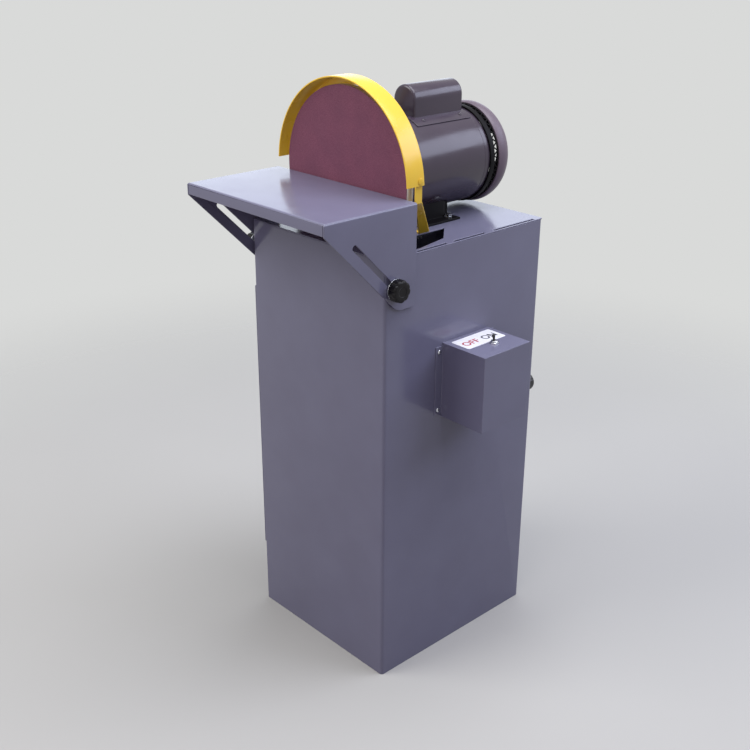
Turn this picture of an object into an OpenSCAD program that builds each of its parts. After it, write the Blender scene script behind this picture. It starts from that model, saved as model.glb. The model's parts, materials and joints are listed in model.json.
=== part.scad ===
// Floor-standing disc sander on a sheet-metal cabinet, with a tilting table,
// a direct-driven 12 inch disc under a half-round guard, and a motor on the deck.
// Origin: centre of the cabinet's foot on the floor. +X right, +Y to the rear, +Z up.

/* [Cabinet] */
// Width of the cabinet
cab_w = 354; // [330:1:400]
// Depth of the cabinet
cab_d = 400; // [380:1:460]
// Height of the deck above the floor
cab_h = 823; // [700:1:900]
// Thickness of the cabinet's sheet steel
sheet = 2.5; // [1.5:0.1:4]
// Outside radius of the cabinet's bends
bend_r = 6; // [5:0.5:9]
// Diameter of the floor anchor holes
anchor_d = 11; // [8:0.5:14]
// Distance between anchor holes across the cabinet
anchor_x = 260; // [200:1:280]
// Distance between anchor holes front to rear
anchor_y = 310; // [240:1:330]
// Distance of the access panel's upper edge below the deck
access_below = 130; // [110:1:260]
// Height of the access panel's lower edge
access_z = 135; // [80:1:160]
// Thickness of the access panel
access_t = 3; // [1.5:0.1:4]

/* [Table] */
// Gap between the cabinet's side and the table's side plate
table_side_gap = 2; // [1.5:0.1:6]
// Depth of the table, front to rear
table_d = 198; // [180:1:230]
// Height of the table's top above the deck
table_rise = 86; // [70:1:100]
// Thickness of the table's sheet
table_t = 3; // [2:0.1:4]
// Height of the front lip
lip_h = 20; // [10:1:26]
// Depth of the side plates below the table's top
plate_drop = 176; // [160:1:200]
// Gap between the table's rear edge and the abrasive
table_gap = 4; // [2:0.5:8]
// Angle of the slot in the side plates
slot_angle = 45; // [40:1:50]
// Travel of the stud along the slot
slot_run = 122; // [112:1:126]
// Width of the metal below the slot's centre line
slot_edge = 24; // [18:1:28]
// Diameter of the table's clamp studs
stud_d = 8; // [6:0.5:10]
// Distance of the studs behind the cabinet's front
stud_back = 17; // [14:1:24]
// Distance of the studs below the deck
stud_below = 50; // [40:1:60]
// Diameter of the clamp knobs
knob_d = 39; // [32:1:46]
// Thickness of the clamp knobs
knob_t = 16; // [12:1:20]
// Number of lobes on a clamp knob
knob_lobes = 9; // [7:1:11]

/* [Disc and guard] */
// Diameter of the abrasive disc
disc_d = 304.8; // [280:0.1:320]
// Thickness of the disc plate
disc_t = 15; // [10:0.5:18]
// Thickness of the abrasive sheet
abrasive_t = 1; // [0.6:0.1:2]
// Distance of the abrasive face behind the cabinet's front
disc_back = 70; // [62:1:78]
// Inside radius of the guard beyond the disc
guard_gap = 12.6; // [8:0.1:16]
// Thickness of the guard's sheet
guard_t = 2.5; // [1.5:0.1:4]
// Width of the guard band
guard_w = 40.5; // [34:0.5:46]
// Distance that the band stands in front of the abrasive
guard_front = 12.5; // [8:0.5:16]
// Depth of the guard's rear lip
guard_lip = 15; // [10:0.5:20]
// Height of the band's ends above the spindle
guard_end = 8; // [4:1:14]

/* [Motor] */
// Height of the shell's underside above the deck
motor_rise = 12; // [9:0.5:20]
// Diameter of the motor's shell
motor_d = 174; // [160:1:180]
// Length of the motor's body, with its rear shoulder
motor_l = 202; // [185:1:215]
// Distance of the shell's front end behind the abrasive
motor_back = 75; // [73:1:85]
// Thickness of the shell
shell_t = 2.5; // [2:0.1:4]
// Diameter of the shaft at the disc hub
shaft_d = 15.88; // [14:0.02:17]
// Distance from the motor's body to the end cap
vent_l = 21; // [18:1:28]
// Number of zigzag ribs round the vent ring
vent_ribs = 36; // [24:1:44]
// Distance that the end cap stands out beyond the shell
cap_proud = 7; // [5:0.5:10]
// Length of the end cap
cap_l = 39; // [36:1:44]
// Distance between foot bolts across the motor
foot_x = 124; // [110:1:130]
// Distance between foot bolts along the motor
foot_y = 76; // [70:1:84]
// Diameter of the foot bolts
foot_bolt_d = 8; // [6:0.5:10]
// Width of the capacitor cover
capacitor_w = 54; // [50:1:60]
// Length of the capacitor cover
capacitor_l = 124; // [112:1:130]
// Height of the capacitor cover above the shell
capacitor_h = 52.5; // [48:0.5:58]

/* [Switch box and gland] */
// Depth of the switch box from the cabinet's side
box_x = 100; // [85:1:115]
// Width of the switch box along the cabinet's side
box_y = 119; // [100:1:130]
// Height of the switch box
box_z = 142; // [120:1:150]
// Height of the switch box's lower edge
box_low = 503; // [400:1:520]
// Thickness of the switch box's sheet
box_t = 1.5; // [1:0.1:2.5]
// Swing of the toggle lever
toggle_swing = 26; // [20:1:30]
// Height of the cable gland
gland_z = 478; // [380:1:520]
// Gap between the gland's lock nut and the cabinet's rear flange
gland_gap = 1.4; // [1:0.1:10]
// Width of the gland's hexagon across its flats
gland_af = 34; // [28:1:38]

/* [Hidden] */
$fn = 64;

// Cut overrun, hole clearance round a fastener, seat clearance and clearance of running fits
over = 1;
hole_gap = 0.2;
seat_gap = 0.05;
run_gap = 0.04;
face_gap = 0.3;
corner_steps = 8;

// Planes of the cabinet
side_x = cab_w/2;
front_y = -cab_d/2;
rear_y = cab_d/2;
wrap_rear_y = rear_y - sheet;
wrap_h = cab_h - sheet;
flange_w = 16;
pan_rim = 25;

// Spindle, disc and motor stations along Y
axis_z = cab_h + motor_rise + motor_d/2;
face_y = front_y + disc_back;
plate_front_y = face_y + abrasive_t;
plate_rear_y = plate_front_y + disc_t;
shell_y = face_y + motor_back;
shell_end_y = shell_y + motor_l;
shell_r = motor_d/2;
bell_l = 21;
bell_face_y = shell_y - bell_l;
bell_t = 4;
bell_nose_r = 42;
spigot_l = 6;
shoulder_l = 12;
shoulder_round = 6;
cap_y = shell_end_y + vent_l;
cap_end_y = cap_y + cap_l;

// Deck opening round the disc, and the tongue that carries the motor
// Places named _back are measured from the cabinet's front, those named _in from an edge
deck_open_front = 38;
deck_open_in = 16;
deck_waist_in = 31;
deck_open_half = side_x - deck_open_in;
deck_open_waist = side_x - deck_waist_in;
deck_open_corner_back = 96;
deck_open_waist_back = 167;
deck_open_rear_back = 215;
tongue_half = 102;
tongue_back = 138;
tongue_y = front_y + tongue_back;
stitch_w = 5.5;
stitch_in = 3.2;
stitch_start_shares = [0.195, 0.4175, 0.674];
stitch_length_shares = [0.176, 0.195, 0.2725];
stiffener_t = 5;
stiffener_half = 95;
stiffener_l = 205;

// Panels and their screws
screw_d = 4;
screw_head_d = 8;
screw_head_h = 2.6;
screw_l = 9;
rear_panel_in = 7;
rear_panel_lift = 4;
rear_screw_in = 12;
rear_screw_shares = [0.06, 0.5, 0.94];
access_front = 2.5;
access_rear = 12;
access_screw_in = 10;
access_screw_end = 23;
access_open_in = 24;
access_h = cab_h - access_below - access_z;
access_y = front_y + access_front;
access_d = cab_d - access_front - access_rear;
access_screw_y = [access_y + access_screw_in, access_y + access_d - access_screw_in];
access_screw_z = [access_z + access_screw_end, access_z + access_h/2, access_z + access_h - access_screw_end];

// Table, its studs and its slot, in the plane of the side plates
table_w = cab_w + 2*table_side_gap + 2*table_t;
table_z = cab_h + table_rise;
table_rear_y = face_y - table_gap;
table_front_y = table_rear_y - table_d;
plate_in_x = table_w/2 - table_t;
plate_low_z = table_z - plate_drop;
stud_y = front_y + stud_back;
stud_z = cab_h - stud_below;
plate_corner_r = 30;
plate_heel_r = 8;
fold_r = 4;
lip_seam = 0.8;
bush_wall = 1;
bush_d = stud_d + 2*run_gap + 2*bush_wall;
slot_w = bush_d + 2*run_gap;
bush_flange_d = 22;
bush_flange_t = 1.5;
washer_d = 37;
washer_t = 1.7;
pivot_plate_t = 4;
pivot_plate_w = 30;
pivot_plate_h = 36;
stud_head_af = 13;
stud_head_t = 5.5;
bush_x = table_w/2 + face_gap;
washer_x = bush_x + bush_flange_t;
knob_x = washer_x + washer_t + face_gap;
knob_edge_r = 4;
knob_lobe_r = 7.5;
knob_cap_t = 2;
insert_d = 14;
insert_flange_d = 17;
insert_flange_t = 1.5;
stud_tip = 1;

// Disc hub and spindle
shaft_r = shaft_d/2;
journal_r = 10;
tail_r = 8.5;
hub_flange_r = 45;
hub_flange_t = 8;
hub_r = 22;
hub_clear = 2;
hub_l = bell_face_y - hub_clear - plate_rear_y;
shaft_front_y = plate_rear_y + seat_gap;
key_w = 4.76;
key_end = 4;
set_screw_d = 6;
disc_screw_d = 6;
disc_screw_head_d = 10;
disc_screw_head_h = 6;
disc_screw_l = 10;
disc_screw_pcd = 66;
disc_screw_n = 4;
disc_edge = 1.5;

// Motor insides
bearing_front_d = 47;
bearing_front_w = 14;
bearing_rear_d = 40;
bearing_rear_w = 12;
bearing_front_y = bell_face_y + bell_t;
bearing_rear_y = shell_end_y + bell_t;
bearing_wall = 5;
core_l = 100;
core_y = shell_y + (motor_l - core_l)/2;
core_bore_r = 48;
air_gap = 0.5;
winding_l = 28;
winding_step = 6;
winding_gap = 11;
winding_in_r = core_bore_r + winding_step;
winding_out_r = shell_r - winding_gap;
fan_hub_r = 18;
fan_gap = 5.5;
fan_t = 3;
fan_l = 22;
fan_blades = 8;
fan_clear = 3;
fan_y = bearing_rear_y + bearing_rear_w + fan_clear;
shaft_end_y = fan_y + fan_l;
journal_end_y = shell_end_y - hub_clear;
cap_t = 2.5;
cap_round = 28;
cap_swell = cap_l - cap_round;
cap_screw_n = 4;
cap_boss_d = 11;
cap_boss_edge = 1.5;
cap_post_d = 9;
cap_r = shell_r + cap_proud;
cap_front_r = cap_r - cap_round + sqrt(cap_round*cap_round - cap_swell*cap_swell);
vent_in = 4;
vent_r = cap_r - vent_in;
vent_t = 3;
vent_rim = 11;
vent_rim_back = 2;
rib_w = 2;
cap_screw_r = cap_r - cap_round - cap_boss_d/2 - cap_boss_edge;
cap_screw_bite = 10;
fan_r = cap_screw_r - cap_post_d/2 - fan_gap;
cap_screw_d = 5;
cap_screw_head_d = 9;
cap_screw_head_h = 3.2;
inlet_rows = 4;
inlet_w = 7;
inlet_bar = 3.5;
inlet_spoke = 8;
inlet_edge = 1;
inlet_turn = 30;
inlet_r = cap_screw_r - cap_boss_d/2 - inlet_edge;

// Motor foot
foot_bolt_in = 122;
foot_bolt_y = shell_y + foot_bolt_in;
foot_t = 4;
foot_edge_x = 19;
foot_edge_y = 13;
saddle_half = 58;
saddle_h = 40;
saddle_in = 8;
bolt_head_share = 0.65;
bolt_af_share = 1.6;
nut_share = 0.8;

// Capacitor cover
capacitor_in = 65;
capacitor_y = shell_y + capacitor_in;
capacitor_t = 2;
saddle_t = 2;
saddle_x = 48.5;
saddle_front = 12;
capacitor_gap = 6;
capacitor_d = capacitor_h - saddle_t - capacitor_t - capacitor_gap;
capacitor_can_l = 100;
capacitor_screw_angle = 25;
capacitor_screw_shares = [0.1, 0.85];
capacitor_screw_d = 4;
capacitor_screw_head_d = 7;
capacitor_screw_head_h = 2;

// Guard and its legs
guard_in_r = disc_d/2 + guard_gap;
guard_out_r = guard_in_r + guard_t;
guard_y = face_y - guard_front;
guard_rear_y = guard_y + guard_w;
leg_t = 3;
leg_w = 15;
leg_foot_w = 24;
leg_lap = 14;
leg_drop = 30;
leg_foot_l = 24;
leg_foot_in = 16;
leg_foot_y = tongue_y + leg_foot_in;
leg_in = 0.8;
leg_bolt_d = 6;

// Switch box, toggle, plate and gland
box_y0 = -box_y/2;
box_out_x = side_x + box_x;
box_top_z = box_low + box_z;
box_flange = 17;
box_flange_end = 5;
box_screw_out = 9;
box_screw_end = 15;
wire_hole_d = 22;
wire_z = box_low + box_z/2;
grommet_lip = 3;
grommet_t = 2;
toggle_in = 38;
toggle_y = 6.5;
toggle_x = box_out_x - toggle_in;
toggle_body_x = 18;
toggle_body_y = 30;
toggle_body_h = 26;
bushing_r = 6;
bushing_bore_r = 4;
bushing_h = 7;
toggle_nut_af = 15;
toggle_nut_t = 2.6;
lever_ball_r = 3.4;
lever_tip_r = 3.1;
lever_neck_r = 2;
lever_l = 10;
lever_lift = 3.5;
lever_z = box_top_z + lever_lift;
plate_t = 0.6;
plate_wall = 10;
plate_end = 10.5;
plate_toggle = 9;
plate_w = box_x - toggle_in - plate_wall - plate_toggle;
plate_l = box_y - 2*plate_end;
gland_hex_t = 9;
gland_dome_r = 18;
gland_dome_l = 21;
gland_dome_round = 8;
gland_thread_d = 20;
gland_bore_d = 11;
gland_nut_af = 27;
gland_x = side_x - flange_w - gland_gap - gland_nut_af/cos(30)/2;
gland_nut_t = 5;

// Outline of the end cap's swelled side, as an arc of radius r from its front edge to its flat rear
function swell(r) = let (from = -asin(cap_swell/r))
  [for (i = [0:2*corner_steps]) let (turn = from + (90 - from)*i/(2*corner_steps))
    [cap_r - cap_round + r*cos(turn), cap_swell + r*sin(turn)]];
// Points of an arc that rounds the corner p between the neighbours a and b
function unit(v) = v/norm(v);
function wrapped(t) = t > 180 ? t - 360 : t < -180 ? t + 360 : t;
function corner(a, p, b, r) =
  let (u = unit(a - p), w = unit(b - p), half = acos(u*w)/2,
       c = p + unit(u + w)*r/sin(half), s = p + u*r/tan(half), e = p + w*r/tan(half),
       from = atan2(s[1] - c[1], s[0] - c[0]), turn = wrapped(atan2(e[1] - c[1], e[0] - c[0]) - from))
  [for (i = [0:corner_steps]) c + r*[cos(from + turn*i/corner_steps), sin(from + turn*i/corner_steps)]];
function rounded(pts, r) =
  let (n = len(pts)) [for (i = [0:n - 1]) each corner(pts[(i + n - 1)%n], pts[i], pts[(i + 1)%n], r)];
function box_pts(half, y0, y1) = [[-half, y0], [half, y0], [half, y1], [-half, y1]];

// A profile in the YZ plane drawn out along +X, one in the XZ plane along +Y, and a turn about the spindle
module across(x, w) { translate([x, 0, 0]) rotate([90, 0, 90]) linear_extrude(w) children(); }
module along(y, l) { translate([0, y + l, 0]) rotate([90, 0, 0]) linear_extrude(l) children(); }
module spindle(y) { translate([0, y, axis_z]) rotate([-90, 0, 0]) children(); }
module rod_y(y, l, r) { spindle(y) cylinder(r = r, h = l); }
module tube_y(y, l, ro, ri) {
  difference() {
    rod_y(y, l, ro);
    rod_y(y - over, l + 2*over, ri);
  }
}
module rod_x(x, l, d, y, z) { translate([x, y, z]) rotate([0, 90, 0]) cylinder(d = d, h = l); }
module both() { for (side = [0, 1]) mirror([side, 0, 0]) children(); }
module hexagon(af, h) { cylinder(d = af/cos(30), h = h, $fn = 6); }

// A pan-head screw along +Z with its head's underside at the origin, and a hexagon bolt likewise
module pan_screw(d, head_d, head_h, l) {
  translate([0, 0, -l]) cylinder(d = d, h = l);
  rotate_extrude() intersection() {
    translate([0, head_h - head_d]) circle(r = head_d);
    square([head_d/2, head_h]);
  }
}
module hex_bolt(d, l) {
  translate([0, 0, -l]) cylinder(d = d, h = l);
  hexagon(d*bolt_af_share, d*bolt_head_share);
}
module hex_nut(d) {
  difference() {
    hexagon(d*bolt_af_share, d*nut_share);
    translate([0, 0, -over]) cylinder(d = d + 2*hole_gap, h = d*nut_share + 2*over);
  }
}

// Cabinet
module at_access_screws() {
  for (y = access_screw_y, z = access_screw_z) translate([-side_x, y, z]) children();
}
module at_rear_screws() {
  for (side = [-1, 1], s = rear_screw_shares)
    translate([side*(side_x - rear_screw_in), wrap_rear_y, s*wrap_h]) children();
}
module cabinet_wrap() {
  color("#6a667c") difference() {
    linear_extrude(wrap_h) difference() {
      polygon(rounded(box_pts(side_x, front_y, wrap_rear_y), bend_r));
      polygon(rounded(box_pts(side_x - sheet, front_y + sheet, wrap_rear_y - sheet), bend_r - sheet));
      translate([flange_w - side_x, 0]) square([cab_w - 2*flange_w, cab_d]);
    }
    rod_x(-side_x - over, cab_w + 2*over, stud_d + 2*hole_gap, stud_y, stud_z);
    across(-side_x - over, 2*over + sheet)
      translate([access_y + access_open_in, access_z + access_open_in])
        square([access_d - 2*access_open_in, access_h - 2*access_open_in]);
    at_access_screws() rotate([0, 90, 0]) cylinder(d = screw_d + 2*hole_gap, h = 2*screw_l, center = true);
    rod_x(side_x - sheet - over, sheet + 2*over, wire_hole_d, 0, wire_z);
    at_box_screws() cylinder(d = screw_d + 2*hole_gap, h = 2*screw_l, center = true);
    at_rear_screws() rotate([90, 0, 0]) cylinder(d = screw_d + 2*hole_gap, h = 2*screw_l, center = true);
  }
}
module deck_opening() {
  half = [[deck_open_half, front_y + deck_open_front], [deck_open_half, front_y + deck_open_corner_back],
          [deck_open_waist, front_y + deck_open_waist_back], [tongue_half, front_y + deck_open_rear_back],
          [tongue_half, tongue_y]];
  n = len(half);
  polygon(concat(half, [for (i = [n - 1:-1:0]) [-half[i][0], half[i][1]]]));
}
module at_foot_bolts() {
  for (x = [-foot_x/2, foot_x/2], y = [foot_bolt_y - foot_y, foot_bolt_y])
    translate([x, y, cab_h]) children();
}
module at_leg_bolts() {
  both() translate([tongue_half - leg_foot_l/2 - leg_in, leg_foot_y + leg_foot_w/2, cab_h]) children();
}
module deck_plate() {
  color("#8f8fa8") translate([0, 0, wrap_h]) difference() {
    linear_extrude(sheet) difference() {
      polygon(rounded(box_pts(side_x, front_y, rear_y), bend_r));
      deck_opening();
      both() for (i = [0:len(stitch_start_shares) - 1])
        translate([side_x - stitch_in - stitch_w, front_y + stitch_start_shares[i]*cab_d])
          square([stitch_w, stitch_length_shares[i]*cab_d]);
    }
    translate([0, 0, -wrap_h]) {
      at_foot_bolts() cylinder(d = foot_bolt_d + 2*hole_gap, h = 2*cab_h, center = true);
      at_leg_bolts() cylinder(d = leg_bolt_d + 2*hole_gap, h = 2*cab_h, center = true);
    }
  }
}
module motor_stiffener() {
  color("#5c5866") difference() {
    translate([-stiffener_half, tongue_y, wrap_h - stiffener_t])
      cube([2*stiffener_half, stiffener_l, stiffener_t]);
    at_foot_bolts() cylinder(d = foot_bolt_d + 2*hole_gap, h = 2*cab_h, center = true);
    at_leg_bolts() cylinder(d = leg_bolt_d + 2*hole_gap, h = 2*cab_h, center = true);
  }
}
module base_pan() {
  pan = sheet + hole_gap;
  color("#5c5866") difference() {
    linear_extrude(pan_rim)
      polygon(rounded(box_pts(side_x - pan, front_y + pan, wrap_rear_y - pan), bend_r - sheet));
    translate([0, 0, sheet]) linear_extrude(pan_rim)
      polygon(rounded(box_pts(side_x - pan - sheet, front_y + pan + sheet, wrap_rear_y - pan - sheet),
                      sheet));
    for (x = [-anchor_x/2, anchor_x/2], y = [-anchor_y/2, anchor_y/2])
      translate([x, y, -over]) cylinder(d = anchor_d, h = pan_rim);
  }
}
module rear_panel() {
  color("#6a667c") difference() {
    translate([rear_panel_in - side_x, wrap_rear_y, rear_panel_lift])
      cube([cab_w - 2*rear_panel_in, sheet, wrap_h - 2*rear_panel_lift]);
    at_rear_screws() rotate([90, 0, 0]) cylinder(d = screw_d + 2*hole_gap, h = 2*screw_l, center = true);
    translate([gland_x, wrap_rear_y - over, gland_z]) rotate([-90, 0, 0])
      cylinder(d = gland_thread_d + 2*hole_gap, h = sheet + 2*over);
  }
}
module rear_panel_screws() {
  color("#b9b6bd") at_rear_screws() translate([0, sheet, 0]) rotate([-90, 0, 0])
    pan_screw(screw_d, screw_head_d, screw_head_h, screw_l);
}
module access_panel() {
  color("#6a667c") difference() {
    across(-side_x - access_t, access_t) translate([access_y, access_z]) square([access_d, access_h]);
    at_access_screws() rotate([0, 90, 0]) cylinder(d = screw_d + 2*hole_gap, h = 2*screw_l, center = true);
  }
}
module access_panel_screws() {
  color("#b9b6bd") at_access_screws() translate([-access_t, 0, 0]) rotate([0, -90, 0])
    pan_screw(screw_d, screw_head_d, screw_head_h, screw_l);
}

// Table pivot: a plate, stud and spacer on each side of the cabinet
module pivot_plates() {
  color("#5c5866") both() difference() {
    across(side_x - sheet - pivot_plate_t, pivot_plate_t)
      translate([front_y + bend_r + hole_gap, stud_z - pivot_plate_h/2])
        square([pivot_plate_w, pivot_plate_h]);
    rod_x(0, cab_w, stud_d + 2*hole_gap, stud_y, stud_z);
  }
}
module table_studs() {
  seat = side_x - sheet - pivot_plate_t;
  color("#b9b6bd") both() {
    rod_x(seat, knob_x + knob_t - knob_cap_t - stud_tip - seat, stud_d, stud_y, stud_z);
    translate([seat, stud_y, stud_z]) rotate([0, -90, 0]) hexagon(stud_head_af, stud_head_t);
  }
}
module washer_x_ring(x, t, d, bore) {
  difference() {
    rod_x(x, t, d, stud_y, stud_z);
    rod_x(x - over, t + 2*over, bore, stud_y, stud_z);
  }
}
module spacer_washers() {
  color("#b9b6bd") both()
    washer_x_ring(side_x, plate_in_x - side_x - face_gap, bush_flange_d, stud_d + 2*hole_gap);
}
module slot_bushes() {
  color("#c9c6cc") both() {
    washer_x_ring(plate_in_x, bush_x - plate_in_x, bush_d, stud_d + 2*run_gap);
    washer_x_ring(bush_x, bush_flange_t, bush_flange_d, stud_d + 2*run_gap);
  }
}
module clamp_washers() {
  color("#c9c6cc") both() washer_x_ring(washer_x, washer_t, washer_d, stud_d + 2*run_gap);
}

// Table: top, front lip and side plates folded from one sheet
module side_plate_outline(top_z) {
  below = [stud_y - slot_edge*sin(slot_angle), stud_z - slot_edge*cos(slot_angle)];
  nose = [table_front_y, below[1] + (below[0] - table_front_y)*tan(slot_angle)];
  toe = [below[0] + (below[1] - plate_low_z)/tan(slot_angle), plate_low_z];
  heel = [table_rear_y, plate_low_z];
  polygon(concat([[table_front_y, top_z], nose], corner(nose, toe, heel, plate_corner_r),
                 corner(toe, heel, [table_rear_y, top_z], plate_heel_r), [[table_rear_y, top_z]]));
}
module slot_outline() {
  translate([stud_y, stud_z]) rotate(180 - slot_angle) {
    translate([0, -slot_w/2]) square([slot_run, slot_w]);
    circle(d = slot_w);
    translate([slot_run, 0]) circle(d = slot_w);
  }
}
module table() {
  fold_z = table_z - table_t - fold_r;
  color("#9a9ab4") {
    difference() {
      union() {
        along(table_front_y, table_d) polygon(concat(
          [[-table_w/2, fold_z - over]],
          corner([-table_w/2, fold_z], [-table_w/2, table_z], [table_w/2, table_z], fold_r),
          corner([-table_w/2, table_z], [table_w/2, table_z], [table_w/2, fold_z], fold_r),
          [[table_w/2, fold_z - over], [plate_in_x, fold_z - over], [plate_in_x, table_z - table_t],
           [-plate_in_x, table_z - table_t], [-plate_in_x, fold_z - over]]));
        translate([lip_seam - plate_in_x, table_front_y, table_z - lip_h])
          cube([2*plate_in_x - 2*lip_seam, table_t, lip_h - table_t + over]);
      }
      across(-table_w, 2*table_w) polygon(concat([[table_front_y - over, table_z - fold_r]],
        corner([table_front_y, fold_z], [table_front_y, table_z], [table_rear_y, table_z], fold_r),
        [[table_front_y + fold_r, table_z + over], [table_front_y - over, table_z + over]]));
    }
    both() across(plate_in_x, table_t) difference() {
      side_plate_outline(fold_z);
      slot_outline();
    }
  }
}

// Clamp knobs: lobed body with a rounded face, on a threaded insert
module knob_shape() {
  difference() {
    intersection() {
      linear_extrude(knob_t) {
        circle(d = knob_d - 2*knob_lobe_r);
        for (i = [0:knob_lobes - 1]) rotate(i*360/knob_lobes)
          translate([knob_d/2 - knob_lobe_r, 0]) circle(r = knob_lobe_r);
      }
      rotate_extrude() polygon(concat([[0, 0], [knob_d/2, 0]],
        corner([knob_d/2, 0], [knob_d/2, knob_t], [0, knob_t], knob_edge_r), [[0, knob_t]]));
    }
    translate([0, 0, -over]) cylinder(d = insert_d + 2*seat_gap, h = knob_t - knob_cap_t + over);
    translate([0, 0, -over]) cylinder(d = insert_flange_d + 2*seat_gap, h = insert_flange_t + over);
  }
}
module insert_shape() {
  difference() {
    union() {
      cylinder(d = insert_d, h = knob_t - knob_cap_t);
      cylinder(d = insert_flange_d, h = insert_flange_t);
    }
    translate([0, 0, -over]) cylinder(d = stud_d + 2*run_gap, h = knob_t + over);
  }
}
module on_stud() { translate([knob_x, stud_y, stud_z]) rotate([0, 90, 0]) children(); }
module clamp_knob_right() { color("#17141a") on_stud() knob_shape(); }
module knob_insert_right() { color("#b08d4a") on_stud() insert_shape(); }
module clamp_knob_left() { color("#17141a") mirror([1, 0, 0]) on_stud() knob_shape(); }
module knob_insert_left() { color("#b08d4a") mirror([1, 0, 0]) on_stud() insert_shape(); }

// Motor
module motor_base() {
  foot_half = foot_x/2 + foot_edge_x;
  foot_y0 = foot_bolt_y - foot_y - foot_edge_y;
  foot_l = foot_y + 2*foot_edge_y;
  color("#3a3340") difference() {
    union() {
      translate([-foot_half, foot_y0, cab_h]) cube([2*foot_half, foot_l, foot_t]);
      translate([-saddle_half, foot_y0 + saddle_in, cab_h])
        cube([2*saddle_half, foot_l - 2*saddle_in, saddle_h]);
    }
    rod_y(foot_y0 - over, foot_l + 2*over, shell_r);
    at_foot_bolts() {
      cylinder(d = foot_bolt_d + 2*hole_gap, h = cab_h, center = true);
      translate([0, 0, foot_t]) cylinder(d = foot_bolt_d*bolt_af_share/cos(30) + 2*over, h = saddle_h);
    }
  }
}
module motor_foot_bolts() {
  nut_z = -sheet - stiffener_t - foot_bolt_d*nut_share;
  color("#c9c6cc") at_foot_bolts() {
    translate([0, 0, foot_t]) hex_bolt(foot_bolt_d, foot_t - nut_z + over);
    translate([0, 0, nut_z]) hex_nut(foot_bolt_d);
  }
}
module motor_shell() { color("#4a4150") tube_y(shell_y, motor_l - shoulder_l, shell_r, shell_r - shell_t); }
module front_end_bell() {
  seat_r = bearing_front_d/2;
  color("#4a4150") spindle(bell_face_y) rotate_extrude() polygon([
    [journal_r + over, 0], [bell_nose_r, 0], [shell_r, bell_l], [shell_r - shell_t - seat_gap, bell_l],
    [shell_r - shell_t - seat_gap, bell_l + spigot_l], [shell_r - shell_t - bell_t, bell_l + spigot_l],
    [shell_r - shell_t - bell_t, bell_l], [bell_nose_r - bell_t, bell_t], [seat_r + bearing_wall, bell_t],
    [seat_r + bearing_wall, bell_t + bearing_front_w], [seat_r + seat_gap, bell_t + bearing_front_w],
    [seat_r + seat_gap, bell_t], [journal_r + over, bell_t]]);
}
module rear_end_bell() {
  seat_r = bearing_rear_d/2;
  spigot_r = shell_r - shell_t - seat_gap;
  color("#4a4150") difference() {
    union() {
      spindle(shell_end_y) rotate_extrude() polygon(concat([
        [tail_r + over, 0], [spigot_r - bell_t, 0], [spigot_r - bell_t, -shoulder_l - spigot_l],
        [spigot_r, -shoulder_l - spigot_l], [spigot_r, -shoulder_l], [shell_r, -shoulder_l]],
        corner([shell_r, -shoulder_l], [shell_r, bell_t], [0, bell_t], shoulder_round), [
        [seat_r + bearing_wall, bell_t], [seat_r + bearing_wall, bell_t + bearing_rear_w],
        [seat_r + seat_gap, bell_t + bearing_rear_w], [seat_r + seat_gap, bell_t], [tail_r + over, bell_t]]));
      at_cap_screws() translate([0, 0, -cap_l - vent_l + bell_t/2])
        cylinder(d = cap_post_d, h = vent_l - bell_t/2);
    }
    at_cap_screws() translate([0, 0, -cap_l - cap_screw_bite - over])
      cylinder(d = cap_screw_d + 2*hole_gap, h = cap_screw_bite + 2*over);
  }
}
module vent_ring() {
  pitch = 360/vent_ribs;
  open = vent_l - vent_rim - vent_rim_back;
  lean = atan(PI*vent_r/vent_ribs/open);
  color("#2c2630") intersection() {
    tube_y(shell_end_y, vent_l, vent_r, vent_r - vent_t);
    union() {
      rod_y(shell_end_y, vent_rim, vent_r + over);
      rod_y(cap_y - vent_rim_back, vent_rim_back, vent_r + over);
      for (i = [0:vent_ribs - 1], way = [-1, 1])
        translate([0, shell_end_y + vent_rim + open/2, axis_z]) rotate([0, (i + way/4)*pitch, 0])
          translate([0, 0, vent_r]) rotate([0, 0, way*lean])
            cube([rib_w, 2*vent_l, 2*vent_t + over], center = true);
    }
  }
}
module at_cap_screws() {
  for (i = [0:cap_screw_n - 1]) spindle(cap_end_y) rotate(45 + i*360/cap_screw_n)
    translate([cap_screw_r, 0, 0]) children();
}
module inlet_outline() {
  difference() {
    for (i = [0:inlet_rows - 1]) difference() {
      circle(r = inlet_r - i*(inlet_w + inlet_bar));
      circle(r = inlet_r - i*(inlet_w + inlet_bar) - inlet_w);
    }
    square([2*cap_r, inlet_spoke], center = true);
    square([inlet_spoke, 2*cap_r], center = true);
  }
}
module end_cap() {
  color("#4a4150") difference() {
    union() {
      spindle(cap_y) rotate_extrude() polygon(concat(swell(cap_round), [[0, cap_l], [0, cap_l - cap_t]],
        [for (i = [2*corner_steps:-1:0]) swell(cap_round - cap_t)[i]]));
      tube_y(cap_y, cap_t, cap_front_r - cap_t/2, vent_r - vent_t);
      at_cap_screws() translate([0, 0, -cap_l]) cylinder(d = cap_boss_d, h = cap_l - cap_t/2);
    }
    at_cap_screws() translate([0, 0, -cap_l - over]) cylinder(d = cap_screw_d + 2*hole_gap, h = 2*cap_l);
    spindle(cap_end_y - cap_t - over) linear_extrude(cap_t + 2*over) rotate(inlet_turn) inlet_outline();
  }
}
module end_cap_screws() {
  color("#8d8993") at_cap_screws()
    pan_screw(cap_screw_d, cap_screw_head_d, cap_screw_head_h, cap_l + cap_screw_bite);
}
module stator_core() {
  color("#8d8993") tube_y(core_y, core_l, shell_r - shell_t - seat_gap, core_bore_r);
}
module stator_windings() {
  color("#a5562c") {
    tube_y(core_y - winding_l, winding_l, winding_out_r, winding_in_r);
    tube_y(core_y + core_l, winding_l, winding_out_r, winding_in_r);
  }
}
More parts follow.
